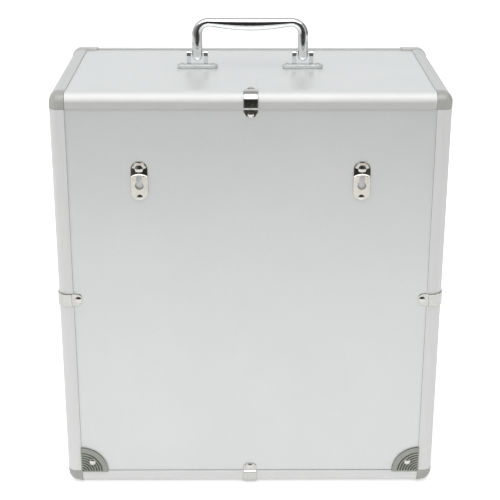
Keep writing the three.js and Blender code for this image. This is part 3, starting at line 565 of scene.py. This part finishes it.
def brass_finish():
    """Turned brass face of the locks."""
    f = Finish("lock_brass", {"Metallic": 1.0})
    grain = f.noise(0.4, 3, seed=3.0)
    tarnish = f.noise(2.5, 4, 0.65, seed=6.0)
    base = f.mix(f.ranged(tarnish, 0.35, 0.7), (0.72, 0.55, 0.26), (0.58, 0.42, 0.2))
    return f.done(base, f.ranged(tarnish, 0.3, 0.7, 0.2, 0.38), grain, 0.02)


def rubber_finish():
    """Black rubber with a little dust."""
    f = Finish("black_rubber")
    grain = f.noise(0.5, 4)
    dust = f.noise(8, 4, seed=4.0)
    base = f.mix(f.ranged(grain, 0.3, 0.7), (0.012, 0.012, 0.012), (0.03, 0.03, 0.03))
    base = f.mix(f.ranged(dust, 0.5, 0.8, 0, 0.4), base, (0.07, 0.07, 0.068))
    return f.done(base, f.ranged(grain, 0, 1, 0.55, 0.75), grain, 0.04)


def print_finish():
    """White printed figures in the slots, with worn spots."""
    f = Finish("white_print")
    spots = f.noise(0.6, 4, 0.7)
    base = f.mix(f.ranged(spots, 0.55, 0.75, 0, 0.5), (0.80, 0.80, 0.78), (0.55, 0.55, 0.54))
    return f.done(base, f.ranged(spots, 0, 1, 0.5, 0.7), spots, 0.03)


# Places read from the frame. Corner space is the distances inwards, in millimetres, from the
# three outer faces that meet at a corner of the case

rear_left, front_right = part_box("rear_left_profile")[0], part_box("front_right_profile")[1]
case_low = Vector((rear_left.x, rear_left.y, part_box("rear_bottom_profile")[0].z)) / MM
case_high = Vector((front_right.x, front_right.y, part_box("rear_top_profile")[1].z)) / MM
back_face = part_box("back_panel")[0].y / MM
top_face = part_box("top_panel")[1].z / MM
flank_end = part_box("rear_top_profile")[1].z / MM - CORNER_RADIUS
fan_front = back_face - FAN_THICKNESS


def corner_matrix(side_x, side_y, side_z):
    """Brings corner space to metres at the corner on the given sides, each -1 or 1."""
    sides = (side_x, side_y, side_z)
    place = [case_high[i] if side > 0 else case_low[i] for i, side in enumerate(sides)]
    return millimetres(place) @ Matrix.Diagonal((*[-s for s in sides], 1))


laminate = laminate_finish()
lining = lining_finish()
# one satin aluminium copy per axis; the bars along Y get a darker copy, as painted shade
brushed = {axis: brushed_finish(f"satin_aluminium_{axis}", axis, 0.83 if axis == "y" else 0.985)
           for axis in "xyz"}
cap_plastic = moulded_finish("cap_plastic", (0.315, 0.315, 0.30), (0.37, 0.37, 0.35))
# a lighter copy of the cap plastic for the front caps, as a painted reflection of the pale
# surroundings at grazing view
front_cap_painted_light_plastic = moulded_finish("front_cap_painted_light_plastic", (0.48, 0.48, 0.465), (0.55, 0.55, 0.53))
# the fan plate's plastic, with a painted highlight on its rib tops and painted shade in its grooves
fan_plastic = moulded_finish("fan_plastic", (0.25, 0.26, 0.228), (0.29, 0.30, 0.266),
                             (fan_front, fan_front + FAN_BAND_DROP, fan_front + 0.8 * FAN_GROOVE))
nickel = plated_finish("nickel_plate", (0.72, 0.70, 0.635), 0.05, 0.03, (0.7, 0.2, 0.5))
clip_nickel = plated_finish("clip_nickel", (0.70, 0.70, 0.675), 0.07, 0.02, (1.0, 0.2, 0.5))
bracket_steel = plated_finish("bracket_steel", (0.74, 0.765, 0.75), 0.55, 0.02, (0.4, 0.05, 0.3))
chrome = plated_finish("chrome_plate", (0.86, 0.87, 0.88), 0.03, 0.02)
# the ears' chrome, with wider and deeper painted shade in its crevices than the other chrome
ear_chrome = plated_finish("ear_chrome", (0.84, 0.85, 0.86), 0.05, 0.02, (2.2, 0.5, 0.85))
# near black steel, as painted shade under the ears' curls
knuckle_shade_steel = plated_finish("knuckle_shade_steel", (0.11, 0.11, 0.115), 0.3, 0.03)
rivet_metal = plated_finish("rivet_nickel", (0.80, 0.78, 0.75), 0.08, 0.03)
# the top bars' own copies of the aluminium: the rear one lighter, as painted light on its bend, with
# painted shade on its upright side, and the front one darker, as painted shade
lit_and_shaded_top_bars = {
    "rear_top_profile": brushed_finish("satin_aluminium_rear_top", "x", 1.02, (0.68, 0.78), 0.85,
                                       (flank_end, flank_end + FLANK_FADE)),
    "front_top_profile": brushed_finish("satin_aluminium_front_top", "x", 0.86),
}
board = board_finish()
acrylic = acrylic_finish()
brass = brass_finish()
rubber = rubber_finish()
white_print = print_finish()


# Fittings on the rear of the case


def rivet_head(radius, lean, rim=0.25, brim=0.0):
    """A domed head on a rim, turned round Z with its seat on height 0. lean is the dome's slope at
    its rim, and brim is the width of a flat ring round the dome."""
    swell = radius / sin(radians(lean))
    low = swell * cos(radians(lean))
    profile = [(radius + brim, -0.4), (radius + brim, rim)] + ([(radius, rim)] if brim else [])
    for i in range(1, 9):
        angle = radians(lean * (1 - i / 8))
        height = rim + swell * cos(angle) - low
        profile.append((max(0.02, swell * sin(angle)), height))
    return lathe(profile)


def corner_lines(radius, reach):
    """Places along an axis from a rounded edge to the end of a face, which give even arcs."""
    arc = [radius * (1 - tan(radians(45 * (1 - i / 8)))) for i in range(9)]
    return arc + [p for p in reach if p > radius + 0.01]


def cap_skins(cap, ball):
    """Outer skins of a corner cap: three faces that meet in rounded edges. A doorway takes the
    inner corner from the face that looks along Y."""
    reach, proud, doorway = cap["reach"], cap["proud"], cap["doorway"]
    radius = CORNER_RADIUS + proud
    skins = []
    for k in range(3):
        i, j = [axis for axis in range(3) if axis != k]
        cut_face = k == 1 and doorway
        opening = [doorway + proud] if cut_face else []
        stops = [opening + [reach[axis] + proud] for axis in (i, j)]
        if ball:
            stops = [spaced(radius, stop[-1], 6) for stop in stops]
        rows, columns = corner_lines(radius, stops[0]), corner_lines(radius, stops[1])
        points = []
        for a in rows:
            for b in columns:
                p = Vector((0, 0, 0))
                p[i], p[j] = a, b
                fade = smoothstep(max(a, b), radius + 1, reach[0] + proud)
                bend = radius + ball * (1 - fade)
                core = Vector([max(value, bend) for value in p])
                points.append([v - proud for v in core + (p - core).normalized() * bend])
        faces = grid_faces(len(rows), len(columns))
        if cut_face:
            across = len(columns) - 1
            faces.pop((len(rows) - 2) * across + across - 1)
        skins.append((points, faces))
    return skins


def add_cap(name, sides, cap, ball=0.0):
    skins = [(skin, corner_matrix(*sides)) for skin in cap_skins(cap, ball)]
    plastic = front_cap_painted_light_plastic if cap is FRONT_CAP else cap_plastic
    obj = make_piece(name + "_shell", skins, plastic, "case", (name,))
    centre = (case_low + case_high) / 2 * MM
    outwards = sum((p.center - centre).dot(p.normal) for p in obj.data.polygons) > 0
    wall = obj.modifiers.new("wall", "SOLIDIFY")
    wall.thickness = cap["wall"] * MM
    wall.offset = -1.0 if outwards else 1.0
    wall.use_even_offset = False
    round_edges(obj, 0.3)


def add_caps():
    for level, side_z in (("top", 1), ("bottom", -1)):
        for hand, side_x in (("left", -1), ("right", 1)):
            ball = 0.0 if (level, hand) == ("top", "right") else REAR_CAP_BALL
            add_cap(f"rear_{level}_{hand}_cap", (side_x, -1, side_z), REAR_CAP, ball)
            add_cap(f"front_{level}_{hand}_cap", (side_x, 1, side_z), FRONT_CAP)


def fan_height(radius, border):
    """Height of the fan plate's face over its back, at a distance from its corner: rounded ribs,
    then a plain band. border is the distance inside the straight edges, where grooves fade."""
    if radius < (FAN_RIBS + 0.35) * FAN_PITCH:
        groove = abs(cos(pi * radius / FAN_PITCH)) ** 1.6
        depth = FAN_GROOVE * (0.25 + 0.75 * smoothstep(border, *FAN_BORDER))
        return FAN_THICKNESS - depth * groove * smoothstep(radius, 0.2 * FAN_PITCH, FAN_PITCH)
    slope = smoothstep(radius, FAN_RADIUS - 2.0, FAN_RADIUS + 0.4)
    return FAN_THICKNESS - FAN_BAND_DROP - FAN_BAND_SLOPE * slope


def add_fan(name, side_x, face):
    """A quarter disc in the corner of the rear panel, seated on the panel's face."""
    inner_x, inner_z = FAN_CORNER
    radii = spaced(0.05, FAN_RADIUS, 150)
    angles = [radians(a) for a in spaced(0, 8, 8) + spaced(10, 80, 28) + spaced(82, 90, 8)]
    top, back = [], []
    for radius in radii:
        for a in angles:
            x, z = polar(radius, a, inner_x, inner_z)
            border = min(x - inner_x, z - inner_z)
            top.append((x, face - fan_height(radius, border), z))
            back.append((x, face, z))
    matrix = corner_matrix(side_x, -1, -1)
    make_piece(name + "_ribs", [(sheet_skin(top, back, len(angles), pointed=True), matrix)],
               fan_plastic, "case", (name,), sharp=55)

    x, z = inner_x + FAN_RIVET_PLACE[0], inner_z + FAN_RIVET_PLACE[1]
    foot = FAN_RIVET[0] + FAN_BOSS_MARGIN
    neck = FAN_RIVET[0] + FAN_BOSS_MARGIN / 2
    seat = [(foot, 0.0), (foot, FAN_THICKNESS - 0.1), (neck, FAN_THICKNESS)]
    boss = lathe(seat, 28), matrix @ towards((0, -1, 0), (x, face, z))
    make_piece(name + "_boss", [boss], fan_plastic, "case")
    head = rivet_head(*FAN_RIVET), matrix @ towards((0, -1, 0), (x, face - FAN_THICKNESS, z))
    make_piece(name + "_rivet", [head], rivet_metal, "case")


def strap_path(panel_drop):
    """Outer line of a strap from end to end round the edge, as pairs of distances in corner space.
    Each leg steps down on to its panel past the profile."""
    outer = CLIP_GAP + CLIP_SHEET
    radius = CORNER_RADIUS + outer
    step_end = CLIP_STEP_START + CLIP_STEP_RUN

    def lift(reach):
        return outer - panel_drop * smoothstep(reach, CLIP_STEP_START, step_end)

    leg = [CLIP_LEG - d for d in (0, 0.15, 0.5, 1.0, 1.8, 2.8, 4.0, 5.0, 5.8)]
    leg += spaced(step_end + 0.4, CLIP_STEP_START - 0.4, 10)
    leg += [13.5, 12.0, 10.5, 9.4]
    first = [(reach, -lift(reach)) for reach in leg]
    bend = [polar(radius, radians(a), CORNER_RADIUS, CORNER_RADIUS) for a in spaced(270, 180, 18)]
    second = [(-lift(reach), reach) for reach in reversed(leg)]
    return first + bend + second


def strap_half_width(from_end):
    """Half the width of a strap at a distance from its round end."""
    share = min(1.0, from_end / CLIP_END_ROUNDING)
    return CLIP_WIDTH / 2 * (1 - (1 - share) ** 2.5) ** 0.45


def rim_drop(share, from_end, rim, end_run):
    """Fall of a rounded rim, at a share of the half width and at a distance from the end."""
    end_drop = rim * (1 - min(1.0, from_end / end_run)) ** 2
    return max(end_drop, rim * max(0.0, (abs(share) - 0.9) / 0.1) ** 2)


def strap_skin(panel_drop, place_point):
    """A bent strap with a rounded rim. place_point turns its (first, second, across) into corner
    space."""
    path = strap_path(panel_drop)
    lengths = [0.0]
    for a, b in zip(path, path[1:]):
        lengths.append(lengths[-1] + dist(a, b))
    across = [-1, -0.985, -0.93, -0.8, -0.5, 0, 0.5, 0.8, 0.93, 0.985, 1]
    top, back = [], []
    for n, (p, q) in enumerate(path):
        before, after = path[max(0, n - 1)], path[min(len(path) - 1, n + 1)]
        run = Vector((after[0] - before[0], after[1] - before[1])).normalized()
        normal = Vector((run.y, -run.x)) * -1
        from_end = min(lengths[n], lengths[-1] - lengths[n])
        half = max(0.05, strap_half_width(from_end))
        for share in across:
            drop = rim_drop(share, from_end, CLIP_RIM, 0.5)
            for side, depth in ((top, drop), (back, CLIP_SHEET)):
                side.append(place_point(p - normal.x * depth, q - normal.y * depth, share * half))
    return sheet_skin(top, back, len(across))


def add_clip(name, edge, sides, middle, panel_drop, stands=False):
    """edge is 'x' for a clip on a level edge and 'z' for one on an upright edge. stands leaves
    out the rivet on the leg that the case stands on."""
    matrix = corner_matrix(*sides)
    if edge == "x":
        strap = strap_skin(panel_drop, lambda p, q, across: (middle + across, q, p))
    else:
        strap = strap_skin(panel_drop, lambda p, q, across: (p, q, middle + across))
    make_piece(name + "_strap", [(strap, matrix)], clip_nickel, "case", (name,), sharp=50)

    seat = panel_drop - CLIP_GAP - CLIP_SHEET
    reach, head = CLIP_RIVET_REACH, rivet_head(*CLIP_RIVET)
    if edge == "z":
        rivets = [(head, (0, -1, 0), (reach, seat, middle)),
                  (head, (-1, 0, 0), (seat, reach, middle))]
    else:
        rivets = [(head, (0, -1, 0), (middle, seat, reach))]
        if not stands:
            rivets.append((rivet_head(*CLIP_RIVET, rim=LEVEL_RIVET_RIM), (0, 0, -1),
                           (middle, reach + LEVEL_RIVET_SHIFT, seat)))
    heads = [(skin, matrix @ towards(direction, spot)) for skin, direction, spot in rivets]
    make_piece(name + "_rivets", heads, rivet_metal, "case")


def add_clips(panel_recess):
    middle_x = (case_high.x - case_low.x) / 2
    middle_z = (case_high.z - case_low.z) / 2
    step = panel_recess + CLIP_STEP_SEAT
    add_clip("top_edge_clip", "x", (-1, -1, 1), middle_x, step)
    add_clip("bottom_edge_clip", "x", (-1, -1, -1), middle_x, step, stands=True)
    add_clip("left_edge_clip", "z", (-1, -1, -1), middle_z, step)
    add_clip("right_edge_clip", "z", (1, -1, -1), middle_z, step)


def plate_outline_half(z):
    """Half width of a keyhole plate at a height."""
    half = PLATE_WIDTH / 2
    over = max(z - (PLATE_TOP - half), PLATE_BOTTOM + half - z)
    return half if over <= 0 else sqrt(max(0.0, half * half - over * over))


def plate_face(x, z):
    """Height of the plate's outer face over the panel: the pad, its lower and its upper end."""
    across = abs(x) / (PLATE_WIDTH / 2)
    above = z + PLATE_ARCH * across ** 2 - PLATE_PAD_TOP
    if above > 0:
        (step_run, step_fall), (ramp_run, slope) = PLATE_STEP, PLATE_RAMP
        ramp_run += PLATE_RAMP_SIDES * across ** 2
        beyond = max(0.0, above - step_run)
        fall = step_fall * min(1.0, above / step_run)
        fall += slope * min(beyond, ramp_run) + PLATE_GENTLE * max(0.0, beyond - ramp_run)
        return max(PLATE_SHEET, PLATE_PAD - fall)
    side = smoothstep(abs(x), PLATE_WIDTH / 2 - 3.0, PLATE_WIDTH / 2 + 0.6)
    pad = PLATE_PAD - PLATE_SIDE_DROP * side
    share = (z - PLATE_PAD_BOTTOM) / (PLATE_PAD_BOTTOM - PLATE_BOTTOM)
    lower = PLATE_LOWER[0] + PLATE_LOWER[1] * share
    on_pad = smoothstep(z, PLATE_PAD_BOTTOM - 0.6, PLATE_PAD_BOTTOM + 1.6)
    return lower + (pad - lower) * on_pad


def keyhole_cutter(place):
    """A prism with the outline of a round hole and the slot above it."""
    narrow = SLOT_WIDTH / 2
    join = asin(narrow / KEYHOLE_RADIUS)
    outline = [polar(narrow, a, 0, SLOT_TOP - narrow) for a in spaced(0, pi, 20)]
    outline += [polar(KEYHOLE_RADIUS, a, 0, -KEYHOLE_DROP)
                for a in spaced(pi / 2 + join, 2 * pi + pi / 2 - join, 40)]
    skin = ring_stack([[(x, y, z) for x, z in outline] for y in (-9, 3)])
    return new_object("keyhole_cutter", solid_mesh("cutter", [(skin, millimetres(place))]))


def cut_with(obj, cutter):
    """Cuts the object for good and removes the cutter."""
    boolean = obj.modifiers.new("cut", "BOOLEAN")
    boolean.operation = "DIFFERENCE"
    boolean.solver = "EXACT"
    boolean.object = cutter
    bpy.context.view_layer.update()
    evaluated = obj.evaluated_get(bpy.context.evaluated_depsgraph_get())
    cut = bpy.data.meshes.new_from_object(evaluated)
    obj.modifiers.remove(boolean)
    obj.data = cut
    bpy.data.objects.remove(cutter)
    shade_smooth(cut, 40)


def add_keyhole_plate(name):
    low, high = (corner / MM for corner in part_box(name))
    middle = Vector(((low.x + high.x) / 2, high.y, (low.z + high.z) / 2))
    end_steps = (0, 0.06, 0.25, 0.6, 1.1, 1.8, 2.7, 3.8, 5.0)
    heights = [PLATE_BOTTOM + d for d in end_steps] + spaced(PLATE_BOTTOM + 5.6, 2.6, 34)
    heights += spaced(2.8, PLATE_TOP - 5.4, 52) + [PLATE_TOP - d for d in reversed(end_steps)]
    across = [-1, -0.985, -0.94] + spaced(-0.88, 0.88, 22) + [0.94, 0.985, 1]
    top, back = [], []
    for z in heights:
        width = max(0.04, plate_outline_half(z))
        from_end = min(PLATE_TOP - z, z - PLATE_BOTTOM)
        for share in across:
            x = share * width
            face = plate_face(x, z)
            top.append((x, rim_drop(share, from_end, PLATE_RIM, 0.6) - face, z))
            back.append((x, PLATE_SHEET - face, z))
    sheet = sheet_skin(top, back, len(across)), millimetres(middle)
    plate = make_piece(name + "_sheet", [sheet], nickel, "case", (name,))
    cut_with(plate, keyhole_cutter(middle))

    heads = []
    for z, (radius, lean), brim in PLATE_RIVETS:
        seat = middle + Vector((0, 0.05 - plate_face(0, z), z))
        matrix = millimetres() @ towards((0, -1, 0), seat)
        heads.append((rivet_head(radius, lean, brim=brim), matrix))
    make_piece(name + "_rivets", heads, rivet_metal, "case")


# Handle


def bail_stops():
    """The bail's sections from left foot to right: place and height from the pins, turn, sizes."""
    leg_x = HANDLE_SPACING / 2
    wide, deep = HANDLE_LEG
    grip_thick, grip_deep = HANDLE_GRIP
    top = HANDLE_TOP - HANDLE_PIN_HEIGHT
    bend_height = top - HANDLE_END_THICKNESS / 2 - HANDLE_BEND
    rounding = wide / 2
    stops = []
    for angle in spaced(4, 86, 12):
        a = radians(angle)
        stops.append((-leg_x, -HANDLE_TAIL + rounding * (1 - cos(a)), 90.0,
                      wide * sin(a), deep * sin(a) ** 0.7))
    for z in spaced(rounding - HANDLE_TAIL, bend_height, 8):
        stops.append((-leg_x, z, 90.0, wide, deep))
    for share in spaced(0, 1, 24)[1:]:
        a = radians(180 - 90 * share)
        x = -leg_x + HANDLE_BEND * (1 + cos(a))
        z = bend_height + HANDLE_BEND * sin(a)
        stops.append((x, z, 90 - 90 * share, wide + (HANDLE_END_THICKNESS - wide) * share, deep))
    grip_half = leg_x - HANDLE_BEND
    for share in spaced(0, 1, 32)[1:]:
        swell = sin(pi / 2 * share)
        thick = HANDLE_END_THICKNESS + (grip_thick - HANDLE_END_THICKNESS) * swell
        stops.append((-grip_half * (1 - share), top - thick / 2, 0.0, thick,
                      deep + (grip_deep - deep) * swell))
    return stops + [(-x, z, -turn, thick, d) for x, z, turn, thick, d in reversed(stops[:-1])]


def add_handle():
    low, high = (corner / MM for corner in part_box("handle_bail"))
    middle_y = (low.y + high.y) / 2
    rings = []
    for x, z, turn, thick, deep in bail_stops():
        a = radians(turn)
        sides = [(thick / 2 * cos(angle), deep / 2 * sin(angle)) for angle in turns(56)]
        rings.append([(x - side * sin(a), y, z + side * cos(a)) for side, y in sides])
    matrix = millimetres((0, middle_y, top_face + HANDLE_PIN_HEIGHT))
    make_piece("handle_bail_bar", [(ring_stack(rings), matrix)], chrome, "handle",
               ("handle_bail",), sharp=60)

    reach = EAR_INNER + EAR_WIDTH
    profile = [(PIN_RADIUS - 0.5, -reach), (PIN_RADIUS, -reach + 0.5),
               (PIN_RADIUS, reach - 0.5), (PIN_RADIUS - 0.5, reach)]
    pins = [(lathe(profile, 24), matrix @ towards((1, 0, 0), (side * HANDLE_SPACING / 2, 0, 0)))
            for side in (-1, 1)]
    make_piece("handle_pins", pins, rivet_metal, "handle")
    for hand, side in (("left", -1), ("right", 1)):
        add_bracket(f"{hand}_handle_bracket",
                    Vector((side * HANDLE_SPACING / 2, middle_y, top_face + BRACKET_LIFT)))


def pill_ring(length, depth, inset, z):
    """Outline of a bar with round ends, inset by a distance."""
    end = depth / 2 - inset
    centre = length / 2 - depth / 2
    right = [(*polar(end, a, centre), z) for a in spaced(-pi / 2, pi / 2, 14)]
    left = [(*polar(end, a, -centre), z) for a in spaced(pi / 2, 1.5 * pi, 14)]
    return right + left


def ear_outline(pin_height, foot_top):
    """Side view of an ear: a strip that rises from the foot and rolls round the pin."""
    start = asin(EAR_SHEET / 2 / KNUCKLE_RADIUS)
    curl = [(KNUCKLE_RADIUS * sin(a), pin_height - KNUCKLE_RADIUS * cos(a))
            for a in spaced(start, 2 * pi - start, 36)]
    return [(EAR_SHEET / 2, foot_top - 0.5), *curl, (-EAR_SHEET / 2, foot_top - 0.5)]


def add_bracket(name, place):
    """A pressed foot with two rolled ears and two rivets."""
    length, depth, height = BRACKET_SIZE
    matrix = millimetres(place)
    rings = [pill_ring(length, depth, 0.25, 0.0), pill_ring(length, depth, 0.0, 0.25)]
    for angle in spaced(0, 90, 6):
        a = radians(angle)
        rings.append(pill_ring(length, depth, BRACKET_ROUNDING * (1 - cos(a)),
                               height - BRACKET_ROUNDING * (1 - sin(a))))
    make_piece(name + "_foot", [(ring_stack(rings), matrix)], bracket_steel, "case",
               (name,), soft_edge=0.3)

    outline = ear_outline(HANDLE_PIN_HEIGHT - BRACKET_LIFT, height)
    ears = []
    for start in (-EAR_INNER - EAR_WIDTH, EAR_INNER):
        stack = [[(x, y, z) for y, z in outline] for x in (start, start + EAR_WIDTH)]
        ears.append((ring_stack(stack), matrix))
    made = make_piece(name + "_ears", ears, ear_chrome, "case", soft_edge=0.3)
    made.data.materials.append(knuckle_shade_steel)
    for polygon in made.data.polygons:
        # painted shade: dark faces low on the rear side of each curl
        if -0.97 < polygon.normal.z < -0.05 and polygon.normal.y < 0:
            polygon.material_index = 1

    spots = [place + Vector((side * BRACKET_RIVET_REACH, 0, height)) for side in (-1, 1)]
    head = rivet_head(*BRACKET_RIVET)
    heads = [(head, millimetres() @ towards((0, 0, 1), spot)) for spot in spots]
    make_piece(name + "_rivets", heads, rivet_metal, "case")


# Nodes that keep their CAD shape, and what lies against them


def line_inner_faces(name, inwards):
    """The panel's face that looks into the case gets the black lining."""
    mesh = cad_nodes[name].data
    mesh.materials.append(lining)
    for polygon in mesh.polygons:
        if polygon.normal.dot(Vector(inwards)) > 0.9:
            polygon.material_index = 1


def dress_case():
    for name, inwards in (("back_panel", (0, 1, 0)), ("left_panel", (1, 0, 0)),
                          ("right_panel", (-1, 0, 0)), ("bottom_panel", (0, 0, 1)),
                          ("top_panel", (0, 0, -1))):
        dress_node(name, laminate, 0.15)
        line_inner_faces(name, inwards)
    for end in ("rear", "front"):
        for side, axis in (("top", "x"), ("bottom", "x"), ("left", "z"), ("right", "z")):
            name = f"{end}_{side}_profile"
            dress_node(name, lit_and_shaded_top_bars.get(name, brushed[axis]))
    for level in ("top", "bottom"):
        for hand in ("left", "right"):
            dress_node(f"{level}_{hand}_profile", brushed["y"])
    for name in SHELVES + DIVIDERS:
        dress_node(name, board, 0.3)


def dress_door():
    for name, axis in (("door_latch_rail", "z"), ("door_hinge_rail", "z"),
                       ("door_bottom_rail", "x"), ("door_top_rail", "x")):
        dress_node(name, brushed[axis])
    dress_node("door_pane", acrylic, 0.2)
    dress_node("hinge_case_leaf", nickel, 0.15)
    dress_node("hinge_door_leaf", nickel, 0.15)
    for level in ("upper", "lower"):
        for part in ("base", "lever", "claw", "catch"):
            dress_node(f"{level}_latch_{part}", nickel, 0.2)
        dress_node(f"{level}_lock_cylinder", brass, 0.12)


def clear_spans(first, boards, last, axis):
    """The free spans along an axis between two panels and their boards, from the far end."""
    stops = [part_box(first)[1][axis]]
    for name in boards:
        stops += [corner[axis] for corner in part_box(name)]
    stops.append(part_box(last)[0][axis])
    return list(zip(stops[::2], stops[1::2]))[::-1]


def add_slot_numbers():
    """White figures on the lining in each slot, counted from the top left as one looks in."""
    panel_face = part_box("back_panel")[1].y
    columns = clear_spans("left_panel", DIVIDERS, "right_panel", 0)
    rows = clear_spans("bottom_panel", SHELVES, "top_panel", 2)
    slots = [(x_low, x_high, z_low) for z_low, _ in rows for x_low, x_high in columns]
    for number, (x_low, x_high, z_low) in enumerate(slots, 1):
        text = bpy.data.curves.new(f"slot_number_{number}", "FONT")
        text.body = str(number)
        text.size = NUMBER_SIZE * MM
        text.align_x = text.align_y = "CENTER"
        text.extrude = NUMBER_DEPTH * MM
        text.materials.append(white_print)
        obj = new_object(f"slot_number_{number}", text)
        obj.location = ((x_low + x_high) / 2, panel_face + (NUMBER_DEPTH + SEAT_GAP) * MM,
                        z_low + NUMBER_HEIGHT * MM)
        obj.rotation_euler = (radians(90), 0, radians(180))
        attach(obj, "case")


def frame_ring(low, high, width, y_from, y_to):
    """A rectangular frame inside the corners low and high, each (x, z), between places on Y."""
    (x0, z0), (x1, z1) = low, high
    outer = [(x0, z0), (x1, z0), (x1, z1), (x0, z1)]
    x0, z0, x1, z1 = x0 + width, z0 + width, x1 - width, z1 - width
    inner = [(x0, z0), (x1, z0), (x1, z1), (x0, z1)]
    points = [(x, y, z) for y in (y_from, y_to) for x, z in outer + inner]
    faces = []
    for i in range(4):
        n = (i + 1) % 4
        faces += [[i, n, 4 + n, 4 + i], [8 + i, 12 + i, 12 + n, 8 + n],
                  [i, 8 + i, 8 + n, n], [4 + i, 4 + n, 12 + n, 12 + i]]
    return points, faces


def add_seams():
    """Painted shadow: dark strips in the black rubber finish where the back and top panels go in
    behind the lips of the rear profiles.
    """
    left, right = case_low.x + LIP_REACH, case_high.x - LIP_REACH
    bottom, top = case_low.z + LIP_REACH, case_high.z - LIP_REACH
    start = case_low.y + LIP_REACH
    shadow_strips = [block((x0, back_face - SEAM_RISE, bottom), (x1, back_face + SEAT_GAP, z1))
              for x0, x1, z1 in ((left, right, bottom + BOTTOM_SEAM), (left, left + SIDE_SEAM, top),
                                 (right - SIDE_SEAM, right, top))]
    shadow_strips.append(block((left, start, top_face - SEAT_GAP),
                        (right, start + TOP_SEAM, case_high.z - TOP_SEAM_DEPTH)))
    make_piece("painted_seam_shadows", [(strip, millimetres()) for strip in shadow_strips], rubber, "case")


def add_pane_seal():
    """Black rubber wedge between the rails and the pane, on both faces."""
    low, high = (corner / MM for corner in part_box("door_pane"))
    inner_low = Vector((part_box("door_latch_rail")[1].x, 0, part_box("door_bottom_rail")[1].z)) / MM
    inner_high = Vector((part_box("door_hinge_rail")[0].x, 0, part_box("door_top_rail")[0].z)) / MM
    rings = [(frame_ring(inner_low.xz, inner_high.xz, SEAL_WIDTH, *ends), millimetres())
             for ends in ((high.y + SEAT_GAP, high.y + SEAL_THICKNESS),
                          (low.y - SEAL_THICKNESS, low.y - SEAT_GAP))]
    make_piece("pane_seal", rings, rubber, "door", soft_edge=0.5)


# Studio


def add_world():
    world = bpy.data.worlds.new("studio")
    bpy.context.scene.world = world
    world.use_nodes = True
    tree = world.node_tree
    background = tree.nodes["Background"]
    background.inputs["Color"].default_value = (1, 1, 1, 1)
    path = new_node(tree, "LightPath")
    strength = new_node(tree, "MapRange", {"To Min": WORLD_STRENGTH, "To Max": MIRRORED_STRENGTH})
    seen = new_node(tree, "Math", operation="MAXIMUM")
    for source, target in ((path.outputs["Is Camera Ray"], seen.inputs[0]),
                           (path.outputs["Is Glossy Ray"], seen.inputs[1]),
                           (seen.outputs[0], strength.inputs["Value"]),
                           (strength.outputs["Result"], background.inputs["Strength"])):
        tree.links.new(source, target)


def add_floor():
    """Pale floor that keeps the object's shadow. Its lift shows as white in full light."""
    mesh = bpy.data.meshes.new("floor")
    half = FLOOR_SIZE / 2
    mesh.from_pydata(rectangle((-half, -half, 0), (half, half, 0)), [], [(0, 1, 2, 3)])
    floor = new_object("floor", mesh)
    f = Finish("pale_floor", {"Roughness": 0.9, "Specular IOR Level": 0.0,
                              "Emission Color": (1, 1, 1, 1), "Emission Strength": FLOOR_LIFT})
    seen = f.node("LightPath").outputs["Is Camera Ray"]
    colour = f.mix(seen, (FLOOR_GREY,) * 3, (FLOOR_GREY_SEEN,) * 3)
    f.link(colour, f.shader.inputs["Base Color"])
    mesh.materials.append(f.material)


def rectangle(low, high):
    """Corners of a flat face across an axis, from two opposite ones."""
    i, j = [axis for axis in range(3) if low[axis] != high[axis]]
    second, fourth = list(low), list(low)
    second[i], fourth[j] = high[i], high[j]
    return [low, second, high, fourth]


def add_card(name, points, faces, axis, levels, tint):
    """A card that only polished surfaces mirror."""
    mesh = bpy.data.meshes.new(name)
    mesh.from_pydata(points, [], faces)
    card = new_object(name, mesh)
    f = Finish(name)
    span = [point[axis] / MM for point in points]
    glow = f.ranged(f.coordinate(axis), min(span), max(span), *levels)
    emission = f.node("Emission", {"Color": (*tint, 1)})
    f.link(glow, emission.inputs["Strength"])
    f.link(emission.outputs["Emission"], f.tree.nodes["Material Output"].inputs["Surface"])
    mesh.materials.append(f.material)
    card.visible_camera = card.visible_diffuse = False
    card.visible_shadow = card.visible_transmission = False


def add_cards():
    for name, radius, ends, heights, axis, levels, tint in CURVED_CARDS:
        arc = [radians(a) for a in spaced(*ends, 16)]
        wall = [(radius * sin(a), -radius * cos(a), z) for z in heights for a in arc]
        add_card(name, wall, grid_faces(2, len(arc)), axis, levels, tint)
    for name, low, high, axis, levels, tint in FLAT_CARDS:
        add_card(name, rectangle(low, high), [(0, 1, 2, 3)], axis, levels, tint)


def add_lamp(name, place, size, power):
    light = bpy.data.lights.new(name, "AREA")
    light.shape = "RECTANGLE"
    light.size, light.size_y = size
    light.energy = power
    obj = new_object(name, light)
    obj.location = place
    aim = Vector(LAMP_AIM) - Vector(place)
    obj.rotation_euler = aim.to_track_quat("-Z", "Y").to_euler()


def add_camera():
    pitch, yaw, roll = (radians(a) for a in CAMERA_TURN)
    ahead = Vector((sin(yaw) * cos(pitch), cos(yaw) * cos(pitch), -sin(pitch)))
    level = Vector((cos(yaw), -sin(yaw), 0))
    above = level.cross(ahead)
    right = level * cos(roll) + above * sin(roll)
    up = above * cos(roll) - level * sin(roll)
    turn = Matrix((right, up, -ahead)).transposed().to_4x4()
    camera = bpy.data.cameras.new("camera")
    camera.lens = CAMERA_LENS
    camera.sensor_width = SENSOR_WIDTH
    obj = new_object("camera", camera)
    obj.matrix_world = Matrix.Translation(CAMERA_PLACE) @ turn
    bpy.context.scene.camera = obj


dress_case()
dress_door()
add_caps()
recess = (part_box("back_panel")[0] / MM).y - case_low.y
add_fan("left_fan_plate", -1, recess - SEAT_GAP)
add_fan("right_fan_plate", 1, recess - SEAT_GAP)
add_clips(recess)
add_keyhole_plate("left_keyhole_plate")
add_keyhole_plate("right_keyhole_plate")
add_handle()
add_slot_numbers()
add_pane_seal()
add_seams()

add_world()
add_floor()
add_cards()
for lamp in LAMPS:
    add_lamp(*lamp)
add_camera()

bpy.context.scene.view_settings.view_transform = "Standard"
